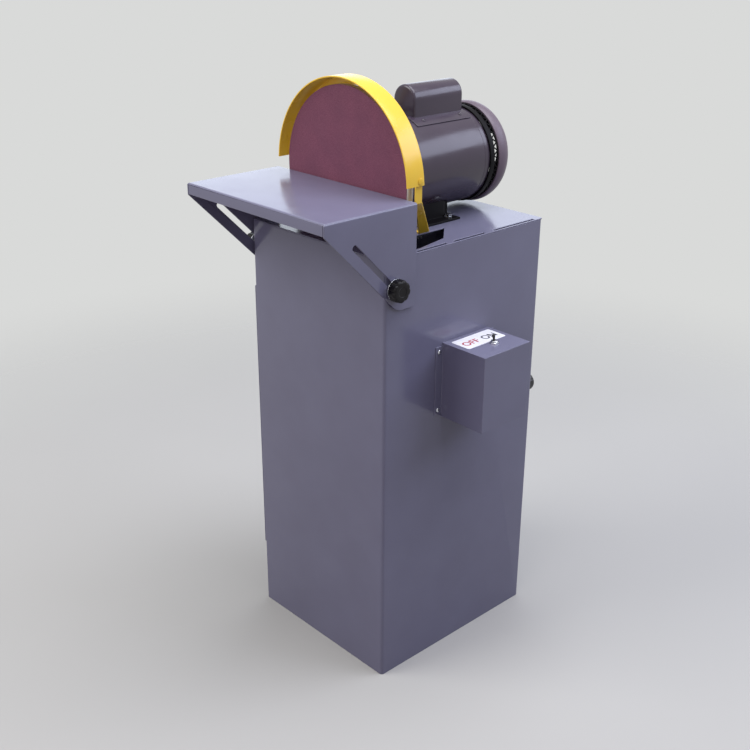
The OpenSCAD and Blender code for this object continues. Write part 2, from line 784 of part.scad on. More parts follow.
module front_bearing() {
  color("#c9c6cc") tube_y(bearing_front_y, bearing_front_w, bearing_front_d/2, journal_r + run_gap);
}
module rear_bearing() {
  color("#c9c6cc") tube_y(bearing_rear_y, bearing_rear_w, bearing_rear_d/2, tail_r + run_gap);
}

// Capacitor cover: an arched can cover on a saddle that follows the shell
module capacitor_arch(in) {
  half = capacitor_w/2 - in;
  translate([-half, axis_z]) square([2*half, shell_r + capacitor_h - capacitor_w/2]);
  translate([0, axis_z + shell_r + capacitor_h - capacitor_w/2]) circle(r = half);
}
module at_capacitor_screws() {
  for (side = [-1, 1], s = capacitor_screw_shares)
    translate([0, capacitor_y + s*capacitor_l, axis_z]) rotate([0, side*capacitor_screw_angle, 0])
      translate([0, 0, shell_r + saddle_t]) children();
}
module capacitor_cover() {
  color("#4a4150") difference() {
    union() {
      along(capacitor_y, capacitor_l) capacitor_arch(0);
      intersection() {
        rod_y(capacitor_y - saddle_front, capacitor_l + saddle_front, shell_r + saddle_t);
        translate([-saddle_x, capacitor_y - saddle_front - over, axis_z])
          cube([2*saddle_x, capacitor_l + saddle_front + 2*over, shell_r + saddle_t]);
      }
    }
    rod_y(capacitor_y - saddle_front - over, capacitor_l + 2*saddle_front, shell_r + seat_gap);
    along(capacitor_y + capacitor_t, capacitor_l - 2*capacitor_t) intersection() {
      capacitor_arch(capacitor_t);
      translate([-capacitor_w, axis_z + shell_r + saddle_t]) square([2*capacitor_w, capacitor_h]);
    }
    at_capacitor_screws() cylinder(d = capacitor_screw_d + 2*hole_gap, h = 4*saddle_t, center = true);
  }
}
module capacitor_cover_screws() {
  color("#8d8993") at_capacitor_screws()
    pan_screw(capacitor_screw_d, capacitor_screw_head_d, capacitor_screw_head_h, saddle_t);
}
module start_capacitor() {
  color("#1f1d22") translate([0, capacitor_y + (capacitor_l - capacitor_can_l)/2,
    axis_z + shell_r + saddle_t + capacitor_d/2]) rotate([-90, 0, 0])
      cylinder(d = capacitor_d, h = capacitor_can_l);
}

// Guard: half-round band with a rear lip, on a bent leg at each end
module at_band_bolts() {
  both() translate([guard_in_r - leg_in, guard_rear_y - guard_t - leg_w/2, axis_z + guard_end + leg_lap/2])
    rotate([0, 90, 0]) children();
}
module disc_guard() {
  color("#eccb45") difference() {
    spindle(guard_y) difference() {
      cylinder(r = guard_out_r, h = guard_w, $fn = 96);
      translate([0, 0, -over]) cylinder(r = guard_in_r, h = guard_w - guard_t + over, $fn = 96);
      translate([0, 0, -over]) cylinder(r = guard_in_r - guard_lip, h = guard_w + 2*over, $fn = 96);
    }
    translate([-2*guard_out_r, guard_y - over, axis_z + guard_end - 4*guard_out_r])
      cube([4*guard_out_r, guard_w + 2*over, 4*guard_out_r]);
    at_band_bolts() cylinder(d = leg_bolt_d + 2*hole_gap, h = 2*leg_lap, center = true);
  }
}
module leg_plate(x, y, z, w, t, h) { translate([x, y, z]) cube([t, w, h]); }
module guard_legs() {
  top_x = guard_in_r - 2*leg_in - leg_t;
  top_y = guard_rear_y - guard_t - leg_w - seat_gap;
  knee_z = axis_z + guard_end - leg_drop;
  foot_end_x = tongue_half - leg_in;
  color("#e0b93a") difference() {
    both() {
      leg_plate(top_x, top_y, knee_z, leg_w, leg_t, leg_drop + leg_lap);
      hull() {
        leg_plate(top_x, top_y, knee_z, leg_w, leg_t, leg_t);
        leg_plate(foot_end_x - leg_t, leg_foot_y, cab_h, leg_foot_w, leg_t, leg_t);
      }
      leg_plate(foot_end_x - leg_foot_l, leg_foot_y, cab_h, leg_foot_w, leg_foot_l, leg_t);
    }
    at_leg_bolts() cylinder(d = leg_bolt_d + 2*hole_gap, h = 2*leg_drop, center = true);
    at_band_bolts() cylinder(d = leg_bolt_d + 2*hole_gap, h = 2*leg_lap, center = true);
  }
}
module guard_bolts() {
  nut_z = -sheet - stiffener_t - leg_bolt_d*nut_share;
  color("#c9c6cc") {
    at_leg_bolts() {
      translate([0, 0, leg_t]) hex_bolt(leg_bolt_d, leg_t - nut_z + over);
      translate([0, 0, nut_z]) hex_nut(leg_bolt_d);
    }
    at_band_bolts() {
      translate([0, 0, leg_in + guard_t]) hex_bolt(leg_bolt_d, leg_lap);
      translate([0, 0, -leg_in - leg_t - leg_bolt_d*nut_share]) hex_nut(leg_bolt_d);
    }
  }
}

// Switch box
module at_box_screws() {
  for (side = [0, 1], z = [box_low + box_screw_end, box_top_z - box_screw_end]) mirror([0, side, 0])
    translate([side_x + box_t, box_y0 - box_screw_out, z]) rotate([0, 90, 0]) children();
}
module switch_box_back() {
  in = box_t + seat_gap;
  color("#6a667c") difference() {
    translate([side_x, box_y0 + in, box_low + in]) cube([box_t, box_y - 2*in, box_z - 2*in]);
    rod_x(side_x - over, box_t + 2*over, wire_hole_d, 0, wire_z);
  }
}
module switch_box_cover() {
  color("#656078") difference() {
    union() {
      translate([side_x, box_y0, box_low]) cube([box_x, box_y, box_z]);
      translate([side_x, box_y0 - box_flange, box_low + box_flange_end])
        cube([box_t, box_y + 2*box_flange, box_z - 2*box_flange_end]);
    }
    translate([side_x - over, box_y0 + box_t, box_low + box_t])
      cube([box_x - box_t + over, box_y - 2*box_t, box_z - 2*box_t]);
    at_box_screws() cylinder(d = screw_d + 2*hole_gap, h = 2*screw_l, center = true);
    translate([toggle_x, toggle_y, box_top_z - box_t - over])
      cylinder(r = bushing_r + hole_gap, h = box_t + 2*over);
  }
}
module switch_box_screws() {
  color("#c9c6cc") at_box_screws() pan_screw(screw_d, screw_head_d, screw_head_h, screw_l);
}
module toggle_body() {
  seat_z = box_top_z - box_t;
  color("#2a282e") difference() {
    union() {
      translate([toggle_x - toggle_body_x/2, toggle_y - toggle_body_y/2, seat_z - toggle_body_h])
        cube([toggle_body_x, toggle_body_y, toggle_body_h]);
      translate([toggle_x, toggle_y, seat_z]) cylinder(r = bushing_r, h = bushing_h);
    }
    translate([toggle_x, toggle_y, lever_z - 2*lever_ball_r])
      cylinder(r = bushing_bore_r, h = bushing_h + toggle_body_h);
  }
}
module toggle_nut() {
  color("#c9c6cc") translate([toggle_x, toggle_y, box_top_z]) difference() {
    hexagon(toggle_nut_af, toggle_nut_t);
    translate([0, 0, -over]) cylinder(r = bushing_r + hole_gap, h = toggle_nut_t + 2*over);
  }
}
module toggle_lever() {
  color("#1d1b1e") translate([toggle_x, toggle_y, lever_z]) rotate([0, -toggle_swing/2, 0]) {
    sphere(r = lever_ball_r);
    cylinder(r1 = lever_neck_r, r2 = lever_tip_r, h = lever_l);
    translate([0, 0, lever_l]) sphere(r = lever_tip_r);
  }
}
module switch_plate() {
  color("#e8e6ea") translate([side_x + plate_wall, -plate_l/2, box_top_z]) cube([plate_w, plate_l, plate_t]);
}
module wire_grommet() {
  inside = side_x - sheet;
  through = sheet + box_t;
  color("#1f1d22") difference() {
    union() {
      rod_x(inside, through, wire_hole_d - 2*seat_gap, 0, wire_z);
      rod_x(inside - grommet_t, grommet_t, wire_hole_d + 2*grommet_lip, 0, wire_z);
      rod_x(inside + through, grommet_t, wire_hole_d + 2*grommet_lip, 0, wire_z);
    }
    rod_x(inside - grommet_t - over, through + 2*grommet_t + 2*over, wire_hole_d - 2*grommet_lip, 0, wire_z);
  }
}

// Cable gland in the rear panel
module at_gland(y) { translate([gland_x, y, gland_z]) rotate([-90, 0, 0]) children(); }
module cable_gland() {
  stem = gland_nut_t + sheet + over;
  color("#17141a") difference() {
    union() {
      at_gland(rear_y) hexagon(gland_af, gland_hex_t);
      at_gland(rear_y + gland_hex_t) rotate_extrude() polygon(concat([[0, 0], [gland_dome_r, 0]],
        corner([gland_dome_r, 0], [gland_dome_r, gland_dome_l], [0, gland_dome_l], gland_dome_round),
        [[0, gland_dome_l]]));
      at_gland(rear_y - stem) cylinder(d = gland_thread_d, h = stem);
    }
    at_gland(rear_y - stem - over) cylinder(d = gland_bore_d, h = stem + gland_hex_t + gland_dome_l + 2*over);
  }
}
module gland_lock_nut() {
  color("#17141a") at_gland(wrap_rear_y - gland_nut_t) difference() {
    hexagon(gland_nut_af, gland_nut_t);
    translate([0, 0, -over]) cylinder(d = gland_thread_d + 2*hole_gap, h = gland_nut_t + 2*over);
  }
}

// Spindle
module key_block(gap) {
  translate([-key_w/2 - gap, plate_rear_y + key_end - gap, axis_z + shaft_r - key_w/2 - gap])
    cube([key_w + 2*gap, hub_l - 2*key_end + 2*gap, key_w + 2*gap]);
}
module motor_shaft() {
  color("#b9b6bd") difference() {
    union() {
      rod_y(shaft_front_y, bell_face_y - shaft_front_y, shaft_r);
      rod_y(bell_face_y, journal_end_y - bell_face_y, journal_r);
      rod_y(journal_end_y, shaft_end_y - journal_end_y, tail_r);
    }
    key_block(seat_gap);
  }
}
module rotor() { color("#8d8993") tube_y(core_y, core_l, core_bore_r - air_gap, journal_r + seat_gap); }
module cooling_fan() {
  color("#2a282e") difference() {
    union() {
      rod_y(fan_y, fan_l, fan_hub_r);
      rod_y(fan_y, fan_t, fan_r);
      for (i = [0:fan_blades - 1]) spindle(fan_y) rotate(i*360/fan_blades)
        translate([fan_hub_r/2, -fan_t/2, 0]) cube([fan_r - fan_hub_r/2 - fan_t, fan_t, fan_l]);
    }
    rod_y(fan_y - over, fan_l + 2*over, tail_r + seat_gap);
  }
}
module at_disc_screws() {
  for (i = [0:disc_screw_n - 1]) spindle(plate_rear_y) rotate(45 + i*360/disc_screw_n)
    translate([disc_screw_pcd/2, 0, 0]) children();
}
module at_set_screws() {
  for (turn = [90, 180]) translate([0, bell_face_y - hub_clear - set_screw_d - over, axis_z])
    rotate([0, turn, 0]) children();
}
module disc_hub() {
  color("#8d8993") difference() {
    union() {
      rod_y(plate_rear_y, hub_flange_t, hub_flange_r);
      rod_y(plate_rear_y, hub_l, hub_r);
    }
    rod_y(plate_rear_y - over, hub_l + 2*over, shaft_r + seat_gap);
    key_block(seat_gap);
    at_disc_screws() translate([0, 0, -over])
      cylinder(d = disc_screw_d + 2*hole_gap, h = hub_flange_t + 2*over);
    at_set_screws() cylinder(d = set_screw_d + 2*hole_gap, h = hub_r + over);
  }
}
module shaft_key() { color("#b9b6bd") key_block(0); }
module hub_set_screws() {
  color("#2a282e") at_set_screws() translate([0, 0, shaft_r + seat_gap])
    cylinder(d = set_screw_d, h = hub_r - shaft_r - over);
}
module disc_plate() {
  r = disc_d/2;
  color("#b5b0b8") difference() {
    spindle(plate_front_y) rotate_extrude($fn = 128) polygon([[0, 0], [r, 0], [r, disc_t - disc_edge],
      [r - disc_edge, disc_t], [0, disc_t]]);
    at_disc_screws() translate([0, 0, -disc_screw_l])
      cylinder(d = disc_screw_d + 2*hole_gap, h = disc_screw_l + over);
  }
}
module disc_screws() {
  color("#2a282e") at_disc_screws() translate([0, 0, hub_flange_t]) {
    cylinder(d = disc_screw_head_d, h = disc_screw_head_h);
    translate([0, 0, -hub_flange_t - disc_screw_l + over])
      cylinder(d = disc_screw_d, h = hub_flange_t + disc_screw_l);
  }
}
module abrasive_sheet() { color("#6b3f50") spindle(face_y) cylinder(d = disc_d, h = abrasive_t, $fn = 128); }

cabinet_wrap();
deck_plate();
motor_stiffener();
base_pan();
rear_panel();
rear_panel_screws();
access_panel();
access_panel_screws();
pivot_plates();
table_studs();
spacer_washers();
motor_base();
motor_foot_bolts();
motor_shell();
front_end_bell();
rear_end_bell();
vent_ring();
end_cap();
end_cap_screws();
stator_core();
stator_windings();
front_bearing();
rear_bearing();
capacitor_cover();
capacitor_cover_screws();
start_capacitor();
disc_guard();
guard_legs();
guard_bolts();
switch_box_back();
switch_box_cover();
switch_box_screws();
toggle_body();
toggle_nut();
switch_plate();
wire_grommet();
cable_gland();
gland_lock_nut();
motor_shaft();
rotor();
cooling_fan();
disc_hub();
shaft_key();
hub_set_screws();
disc_plate();
disc_screws();
abrasive_sheet();
slot_bushes();
clamp_washers();
table();
clamp_knob_right();
knob_insert_right();
clamp_knob_left();
knob_insert_left();
toggle_lever();
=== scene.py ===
# Floor-standing disc sander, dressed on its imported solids.
# Shapes are drawn in millimetres in the part's own frame; piece() turns them to metres.
import json
from math import atan2, cos, pi, radians, sin, sqrt, tan

import bmesh
import bpy
from mathutils import Matrix, Vector

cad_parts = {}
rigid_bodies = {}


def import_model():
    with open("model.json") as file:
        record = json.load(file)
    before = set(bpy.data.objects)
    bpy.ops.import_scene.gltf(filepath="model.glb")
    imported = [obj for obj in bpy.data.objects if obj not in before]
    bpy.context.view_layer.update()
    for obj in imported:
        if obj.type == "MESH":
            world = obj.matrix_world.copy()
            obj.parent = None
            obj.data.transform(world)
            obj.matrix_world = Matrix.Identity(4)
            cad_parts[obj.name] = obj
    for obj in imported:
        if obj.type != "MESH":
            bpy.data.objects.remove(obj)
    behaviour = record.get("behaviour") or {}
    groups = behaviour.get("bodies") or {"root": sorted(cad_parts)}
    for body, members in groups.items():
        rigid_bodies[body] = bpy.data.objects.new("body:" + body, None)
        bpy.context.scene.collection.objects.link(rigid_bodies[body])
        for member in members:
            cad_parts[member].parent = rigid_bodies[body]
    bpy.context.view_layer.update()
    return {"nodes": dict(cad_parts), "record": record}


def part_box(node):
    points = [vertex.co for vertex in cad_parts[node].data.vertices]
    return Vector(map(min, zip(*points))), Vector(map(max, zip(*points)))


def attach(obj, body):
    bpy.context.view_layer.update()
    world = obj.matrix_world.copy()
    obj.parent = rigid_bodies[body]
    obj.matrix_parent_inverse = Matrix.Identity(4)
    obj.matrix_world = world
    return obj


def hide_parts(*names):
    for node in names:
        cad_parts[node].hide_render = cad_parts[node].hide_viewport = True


for spare in list(bpy.data.objects):
    bpy.data.objects.remove(spare)
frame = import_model()

MM = 0.001
PER_METRE = 1000
# Millimetres: points that are welded, and sizes that count as equal
WELD = 0.0005
SAME = 0.001
# Degrees: edges that stay sharp, on fasteners too, and faces that count as one flat
CREASE = 35
FASTENER_CREASE = 32
FLAT = 0.5
BODY_OF = {node: body for body, nodes in frame["record"]["behaviour"]["bodies"].items() for node in nodes}


def span(node):
    """Lowest and highest corner of a node, in millimetres."""
    return [corner * PER_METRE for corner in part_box(node)]


# Finishes

def linear(code):
    """An sRGB hex colour as linear RGBA."""
    parts = [int(code[i:i + 2], 16) / 255 for i in (1, 3, 5)]
    return [c / 12.92 if c <= 0.04045 else ((c + 0.055) / 1.055) ** 2.4 for c in parts] + [1.0]


def per(mm):
    """Texture scale for a pattern whose cells are this many millimetres across."""
    return PER_METRE / mm


def add(tree, kind, links=None, values=None, **settings):
    """Adds a node with its settings, socket values and incoming links."""
    node = tree.nodes.new(kind)
    for key, value in settings.items():
        setattr(node, key, value)
    for key, value in (values or {}).items():
        node.inputs[key].default_value = value
    for key, source in (links or {}).items():
        tree.links.new(source, node.inputs[key])
    return node


def finish(name, **sockets):
    """A material with its shader's plain values; returns it with its tree, shader and coordinates."""
    made = bpy.data.materials.new(name)
    made.use_nodes = True
    shader = made.node_tree.nodes["Principled BSDF"]
    for key, value in sockets.items():
        shader.inputs[key.replace("_", " ")].default_value = value
    place = add(made.node_tree, "ShaderNodeTexCoord").outputs["Object"]
    return made, made.node_tree, shader, place


def two_tone(tree, shader, mask, light, dark):
    """Colours the shader between two tones by a mask."""
    tone = add(tree, "ShaderNodeMix", {0: mask}, {6: linear(dark), 7: linear(light)}, data_type="RGBA")
    tree.links.new(tone.outputs[2], shader.inputs["Base Color"])


def rough_between(tree, shader, mask, low, high):
    """Varies the shader's roughness by a mask."""
    spread = add(tree, "ShaderNodeMapRange", {"Value": mask},
                 {"From Min": 0.3, "From Max": 0.7, "To Min": low, "To Max": high})
    tree.links.new(spread.outputs["Result"], shader.inputs["Roughness"])


def raised(tree, shader, height, depth):
    """Bumps the shader by a height pattern of this depth in millimetres."""
    bump = add(tree, "ShaderNodeBump", {"Height": height}, {"Strength": 1.0, "Distance": depth * MM})
    tree.links.new(bump.outputs["Normal"], shader.inputs["Normal"])


def sprayed(name, light, dark, rough, peel, depth, **sockets):
    """Sprayed and baked enamel on sheet steel: one even colour with faint clouds where the coat is
    thicker, a soft gloss that dulls a little in patches, and the fine dimples of orange peel."""
    cloud_mm, patch_mm = 110, 35
    made, tree, shader, place = finish(name, IOR=1.5, **sockets)
    clouds = add(tree, "ShaderNodeTexNoise", {"Vector": place}, {"Scale": per(cloud_mm), "Detail": 3.0})
    two_tone(tree, shader, clouds.outputs["Fac"], light, dark)
    dull = add(tree, "ShaderNodeTexNoise", {"Vector": place}, {"Scale": per(patch_mm), "Detail": 2.0})
    rough_between(tree, shader, dull.outputs["Fac"], rough - 0.04, rough + 0.05)
    skin = add(tree, "ShaderNodeTexNoise", {"Vector": place}, {"Scale": per(peel), "Detail": 1.0})
    raised(tree, shader, skin.outputs["Fac"], depth)
    return made


def moulded(name, light, dark, rough, grain, depth, **sockets):
    """Moulded plastic or rubber: one deep colour, flow clouds and a fine matt grain from the tool."""
    flow_mm = 14
    made, tree, shader, place = finish(name, **sockets)
    clouds = add(tree, "ShaderNodeTexNoise", {"Vector": place}, {"Scale": per(flow_mm), "Detail": 2.0})
    two_tone(tree, shader, clouds.outputs["Fac"], light, dark)
    rough_between(tree, shader, clouds.outputs["Fac"], rough - 0.05, rough + 0.05)
    skin = add(tree, "ShaderNodeTexNoise", {"Vector": place}, {"Scale": per(grain), "Detail": 2.0})
    raised(tree, shader, skin.outputs["Fac"], depth)
    return made


def metal(name, light, dark, rough, grain, depth):
    """Bare or plated metal: a grey reflection with faint tarnish clouds and a fine surface grain."""
    tarnish_mm = 9
    made, tree, shader, place = finish(name, Metallic=1.0)
    clouds = add(tree, "ShaderNodeTexNoise", {"Vector": place}, {"Scale": per(tarnish_mm), "Detail": 4.0})
    two_tone(tree, shader, clouds.outputs["Fac"], light, dark)
    rough_between(tree, shader, clouds.outputs["Fac"], rough - 0.06, rough + 0.08)
    skin = add(tree, "ShaderNodeTexNoise", {"Vector": place}, {"Scale": per(grain), "Detail": 3.0})
    raised(tree, shader, skin.outputs["Fac"], depth)
    return made


def machined(name, light, dark, rough, pitch, depth):
    """Metal turned about the spindle: fine rings left by the tool, which draw the light out across
    them. The real feed is about 0.2 mm a turn; it is drawn coarser so that it shows."""
    made, tree, shader, place = finish(name, Metallic=1.0)
    apart = add(tree, "ShaderNodeSeparateXYZ", {"Vector": place})
    level = add(tree, "ShaderNodeMath", {0: apart.outputs["Z"]}, {1: AXIS_Z * MM}, operation="SUBTRACT")
    flat = add(tree, "ShaderNodeCombineXYZ", {"X": apart.outputs["X"], "Y": level.outputs[0]})
    radius = add(tree, "ShaderNodeVectorMath", {0: flat.outputs[0]}, operation="LENGTH")
    feed = add(tree, "ShaderNodeCombineXYZ", {"X": radius.outputs["Value"], "Y": apart.outputs["Y"]})
    rings = add(tree, "ShaderNodeTexNoise", {"Vector": feed.outputs[0]}, {"Scale": per(pitch), "Detail": 2.0})
    two_tone(tree, shader, rings.outputs["Fac"], light, dark)
    rough_between(tree, shader, rings.outputs["Fac"], rough - 0.06, rough + 0.08)
    raised(tree, shader, rings.outputs["Fac"], depth)
    return made


def grit(name):
    """Aluminium oxide grains glued to cloth: dull red-brown, sparkling grain tips over darker glue.
    60 grit is about 0.27 mm; it is drawn at about 0.9 mm so that it shows."""
    grain_mm, loading_mm, grain_depth = 0.9, 45, 0.25
    made, tree, shader, place = finish(name, IOR=1.6)
    grains = add(tree, "ShaderNodeTexVoronoi", {"Vector": place}, {"Scale": per(grain_mm)}, feature="F1")
    loading = add(tree, "ShaderNodeTexNoise", {"Vector": place}, {"Scale": per(loading_mm), "Detail": 4.0})
    tips = add(tree, "ShaderNodeMapRange", {"Value": grains.outputs["Distance"]},
               {"From Min": 0.1, "From Max": 0.7, "To Min": 1.0, "To Max": 0.0})
    worn = add(tree, "ShaderNodeMath", {0: tips.outputs["Result"], 1: loading.outputs["Fac"]},
               operation="MULTIPLY")
    two_tone(tree, shader, worn.outputs[0], "#9d5369", "#602c45")
    rough_between(tree, shader, grains.outputs["Distance"], 0.62, 0.9)
    raised(tree, shader, tips.outputs["Result"], grain_depth)
    return made


def striped(name, light, dark, rough, pitch, depth, axis, metallic):
    """Stacked or wound metal: thin layers side by side along one axis, each with its own tone."""
    made, tree, shader, place = finish(name, Metallic=metallic)
    apart = add(tree, "ShaderNodeSeparateXYZ", {"Vector": place})
    layers = add(tree, "ShaderNodeTexNoise", {"W": apart.outputs[axis]}, {"Scale": per(pitch), "Detail": 1.0},
                 noise_dimensions="1D")
    two_tone(tree, shader, layers.outputs["Fac"], light, dark)
    rough_between(tree, shader, layers.outputs["Fac"], rough - 0.08, rough + 0.08)
    raised(tree, shader, layers.outputs["Fac"], depth)
    return made


AXIS_Z = sum(corner.z for corner in span("abrasive_sheet")) / 2

# One finish for each slot: light and dark tone, roughness, then size and depth of the grain in millimetres
FINISH = {
    "grey_enamel": sprayed("baked_grey_enamel", "#78778d", "#6d6b80", 0.17, 5.0, 0.012),
    "motor_enamel": sprayed("semi_gloss_motor_enamel", "#463b48", "#3a313d", 0.2, 4.0, 0.012),
    # Satin black enamel, which is also painted shade where it colours the motor base under the motor
    "motor_black": sprayed("satin_black_enamel_and_painted_shade", "#0d0b0f", "#09070a", 0.5, 2.0, 0.02,
                           Specular_IOR_Level=0.12),
    "yellow_enamel": sprayed("baked_yellow_enamel", "#f6ce46", "#eebf36", 0.24, 5.0, 0.012),
    "bare_plate": metal("hot_rolled_steel_plate", "#6d6f76", "#4b4d54", 0.5, 1.2, 0.03),
    "zinc": metal("bright_zinc_plate", "#d5d6da", "#b7b9c0", 0.26, 0.8, 0.006),
    "black_oxide": metal("black_oxide_steel", "#37343a", "#242127", 0.42, 0.8, 0.008),
    "hub_iron": metal("machined_cast_iron", "#77757c", "#5c5a61", 0.42, 1.4, 0.03),
    "insert_brass": metal("turned_brass", "#c3a15c", "#a98744", 0.3, 0.8, 0.006),
    "disc_aluminium": machined("turned_cast_aluminium", "#dcd9dc", "#c2bfc4", 0.48, 1.3, 0.02),
    "abrasive_cloth": grit("aluminium_oxide_cloth"),
    "lamination_steel": striped("stacked_lamination_steel", "#9a989f", "#706e76", 0.4, 1.5, 0.05, "Y", 1.0),
    "winding_copper": striped("enamelled_copper_winding", "#b5632f", "#7f3e1c", 0.32, 1.6, 0.2, "Y", 0.6),
    "knob_black": moulded("polished_black_phenolic", "#0c090d", "#080609", 0.4, 1.0, 0.004,
                          Specular_IOR_Level=0.22),
    "black_nylon": moulded("black_nylon", "#1c1a1e", "#121014", 0.42, 0.7, 0.012, IOR=1.53),
    "grommet_rubber": moulded("black_rubber", "#1b191c", "#131114", 0.65, 0.8, 0.02, IOR=1.52),
    "white_plate": moulded("white_printed_aluminium", "#f4f3f6", "#eae8ee", 0.36, 1.1, 0.004, IOR=1.5),
}
# Coats on pieces that share a slot: printed words, and the fan's cover, duller than the motor and painted
# paler, a painted highlight for the light that the cover catches from the right and behind
INK = moulded("dark_printing_ink", "#2a2730", "#221f27", 0.5, 0.9, 0.003, IOR=1.5)
RED_INK = moulded("red_printing_ink", "#b8303a", "#a5262f", 0.5, 0.9, 0.003, IOR=1.5)
FAN_COVER_WITH_PAINTED_LIGHT = sprayed("satin_fan_cover_enamel_painted_lighter", "#6b5c68", "#5e505b", 0.42, 3.0, 0.016)

for carried in frame["nodes"].values():
    for place in carried.material_slots:
        place.material = FINISH[place.material.name.split(".")[0]]


# Making shapes

def arc(count, sweep=pi / 2):
    """Angles from nothing to the whole sweep, in this many equal steps."""
    return [sweep * k / count for k in range(count + 1)]


def soften(points, steps=6):
    """A closed outline of (u, v, radius) points with each corner rounded to its radius."""
    outline = []
    for i, (u, v, radius) in enumerate(points):
        here = Vector((u, v))
        if radius == 0:
            outline.append((u, v))
            continue
        back = (Vector(points[i - 1][:2]) - here).normalized()
        on = (Vector(points[(i + 1) % len(points)][:2]) - here).normalized()
        half = back.angle(on) / 2
        centre = here + (back + on).normalized() * radius / sin(half)
        start = here + back * radius / tan(half) - centre
        end = here + on * radius / tan(half) - centre
        first = atan2(start.y, start.x)
        turn = (atan2(end.y, end.x) - first + pi) % (2 * pi) - pi
        for k in range(steps + 1):
            angle = first + turn * k / steps
            outline.append((centre.x + radius * cos(angle), centre.y + radius * sin(angle)))
    return outline


def outward(shape):
    """Merges doubles and points every face outwards."""
    bmesh.ops.remove_doubles(shape, verts=shape.verts, dist=WELD)
    bmesh.ops.recalc_face_normals(shape, faces=shape.faces)
    return shape


def turned(outline, place=Matrix(), steps=128, form=None):
    """Turns a closed outline of (radius, height) about Z; form(angle, radius, height) may reshape it."""
    shape = bmesh.new()
    rings = []
    for radius, height in outline:
        if radius < SAME:
            rings.append([shape.verts.new(place @ Vector((0, 0, height)))])
            continue
        ring = []
        for i in range(steps):
            angle = 2 * pi * i / steps
            r, h = form(angle, radius, height) if form else (radius, height)
            ring.append(shape.verts.new(place @ Vector((r * cos(angle), r * sin(angle), h))))
        rings.append(ring)
    for near, far in zip(rings, rings[1:] + rings[:1]):
        if len(near) == len(far) == 1:
            continue
        for i in range(steps):
            j = (i + 1) % steps
            corners = [near[i % len(near)], near[j % len(near)], far[j % len(far)], far[i % len(far)]]
            shape.faces.new(list(dict.fromkeys(corners)))
    return outward(shape)


def together(*shapes):
    """Joins shapes into the first one."""
    for other in shapes[1:]:
        spare = bpy.data.meshes.new("spare")
        other.to_mesh(spare)
        other.free()
        shapes[0].from_mesh(spare)
        bpy.data.meshes.remove(spare)
    return shapes[0]


def lofted(sections):
    """A closed body through sections of equal point counts, with flat ends."""
    shape = bmesh.new()
    rings = [[shape.verts.new(point) for point in section] for section in sections]
    for near, far in zip(rings, rings[1:]):
        for i in range(len(near)):
            j = (i + 1) % len(near)
            shape.faces.new((near[i], near[j], far[j], far[i]))
    shape.faces.new(rings[0])
    shape.faces.new(rings[-1])
    return outward(shape)


def piece(name, shape, slot, nodes=(), body=None, edge=0.0, crease=CREASE, coat=None):
    """Turns a shape into a finished piece on its body, standing for the nodes that it replaces."""
    mesh = shape
    if isinstance(shape, bmesh.types.BMesh):
        mesh = bpy.data.meshes.new(name)
        shape.to_mesh(mesh)
        shape.free()
        mesh.materials.append(coat or FINISH[slot])
    mesh.transform(Matrix.Scale(MM, 4))
    mesh.polygons.foreach_set("use_smooth", [True] * len(mesh.polygons))
    mesh.set_sharp_from_angle(angle=radians(crease))
    made = bpy.data.objects.new(name, mesh)
    bpy.context.scene.collection.objects.link(made)
    if edge:
        bevel = made.modifiers.new("Broken_edges", "BEVEL")
        bevel.width = edge * MM
        bevel.segments = 2
        bevel.limit_method = "ANGLE"
        bevel.angle_limit = radians(crease)
        bevel.use_clamp_overlap = False
        bevel.harden_normals = True
    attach(made, body or BODY_OF[nodes[0]])
    if nodes:
        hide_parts(*nodes)
    return made


def eased(node, slot, edge, coat=None):
    """A node's own solid with its edges broken, as cut, folded and painted metal has them."""
    shape = bmesh.new()
    shape.from_mesh(frame["nodes"][node].data)
    shape.transform(Matrix.Scale(PER_METRE, 4))
    bmesh.ops.remove_doubles(shape, verts=shape.verts, dist=SAME)
    bmesh.ops.dissolve_limit(shape, angle_limit=radians(FLAT), verts=shape.verts, edges=shape.edges)
    return piece(node + ".eased", shape, slot, [node], edge=edge, coat=coat)


# Patterns grown by Geometry Nodes

def pattern(name, sizes):
    """An empty Geometry Nodes tree with these named inputs; returns the tree and its input node."""
    tree = bpy.data.node_groups.new(name, "GeometryNodeTree")
    tree.interface.new_socket("Geometry", in_out="INPUT", socket_type="NodeSocketGeometry")
    for label, kind in sizes:
        tree.interface.new_socket(label, in_out="INPUT", socket_type="NodeSocket" + kind)
    tree.interface.new_socket("Finish", in_out="INPUT", socket_type="NodeSocketMaterial")
    tree.interface.new_socket("Geometry", in_out="OUTPUT", socket_type="NodeSocketGeometry")
    return tree, add(tree, "NodeGroupInput").outputs


def ends(tree, given, geometry):
    """Closes a tree: instances made real, finish set, geometry out."""
    real = add(tree, "GeometryNodeRealizeInstances", {"Geometry": geometry})
    coated = add(tree, "GeometryNodeSetMaterial", {"Geometry": real.outputs[0], "Material": given["Finish"]})
    add(tree, "NodeGroupOutput", {"Geometry": coated.outputs[0]})


def grown(tree, base, slot, **sizes):
    """Runs a tree on a base mesh and returns the plain mesh that it gives."""
    host = bpy.data.objects.new("host", base)
    bpy.context.scene.collection.objects.link(host)
    modifier = host.modifiers.new("Pattern", "NODES")
    modifier.node_group = tree
    wanted = dict({label.replace("_", " "): value for label, value in sizes.items()}, Finish=FINISH[slot])
    for item in tree.interface.items_tree:
        if item.in_out == "INPUT" and item.name in wanted:
            modifier[item.identifier] = wanted[item.name]
    depsgraph = bpy.context.evaluated_depsgraph_get()
    mesh = bpy.data.meshes.new_from_object(host.evaluated_get(depsgraph))
    bpy.data.objects.remove(host)
    shape = bmesh.new()
    shape.from_mesh(mesh)
    outward(shape).to_mesh(mesh)
    shape.free()
    return mesh


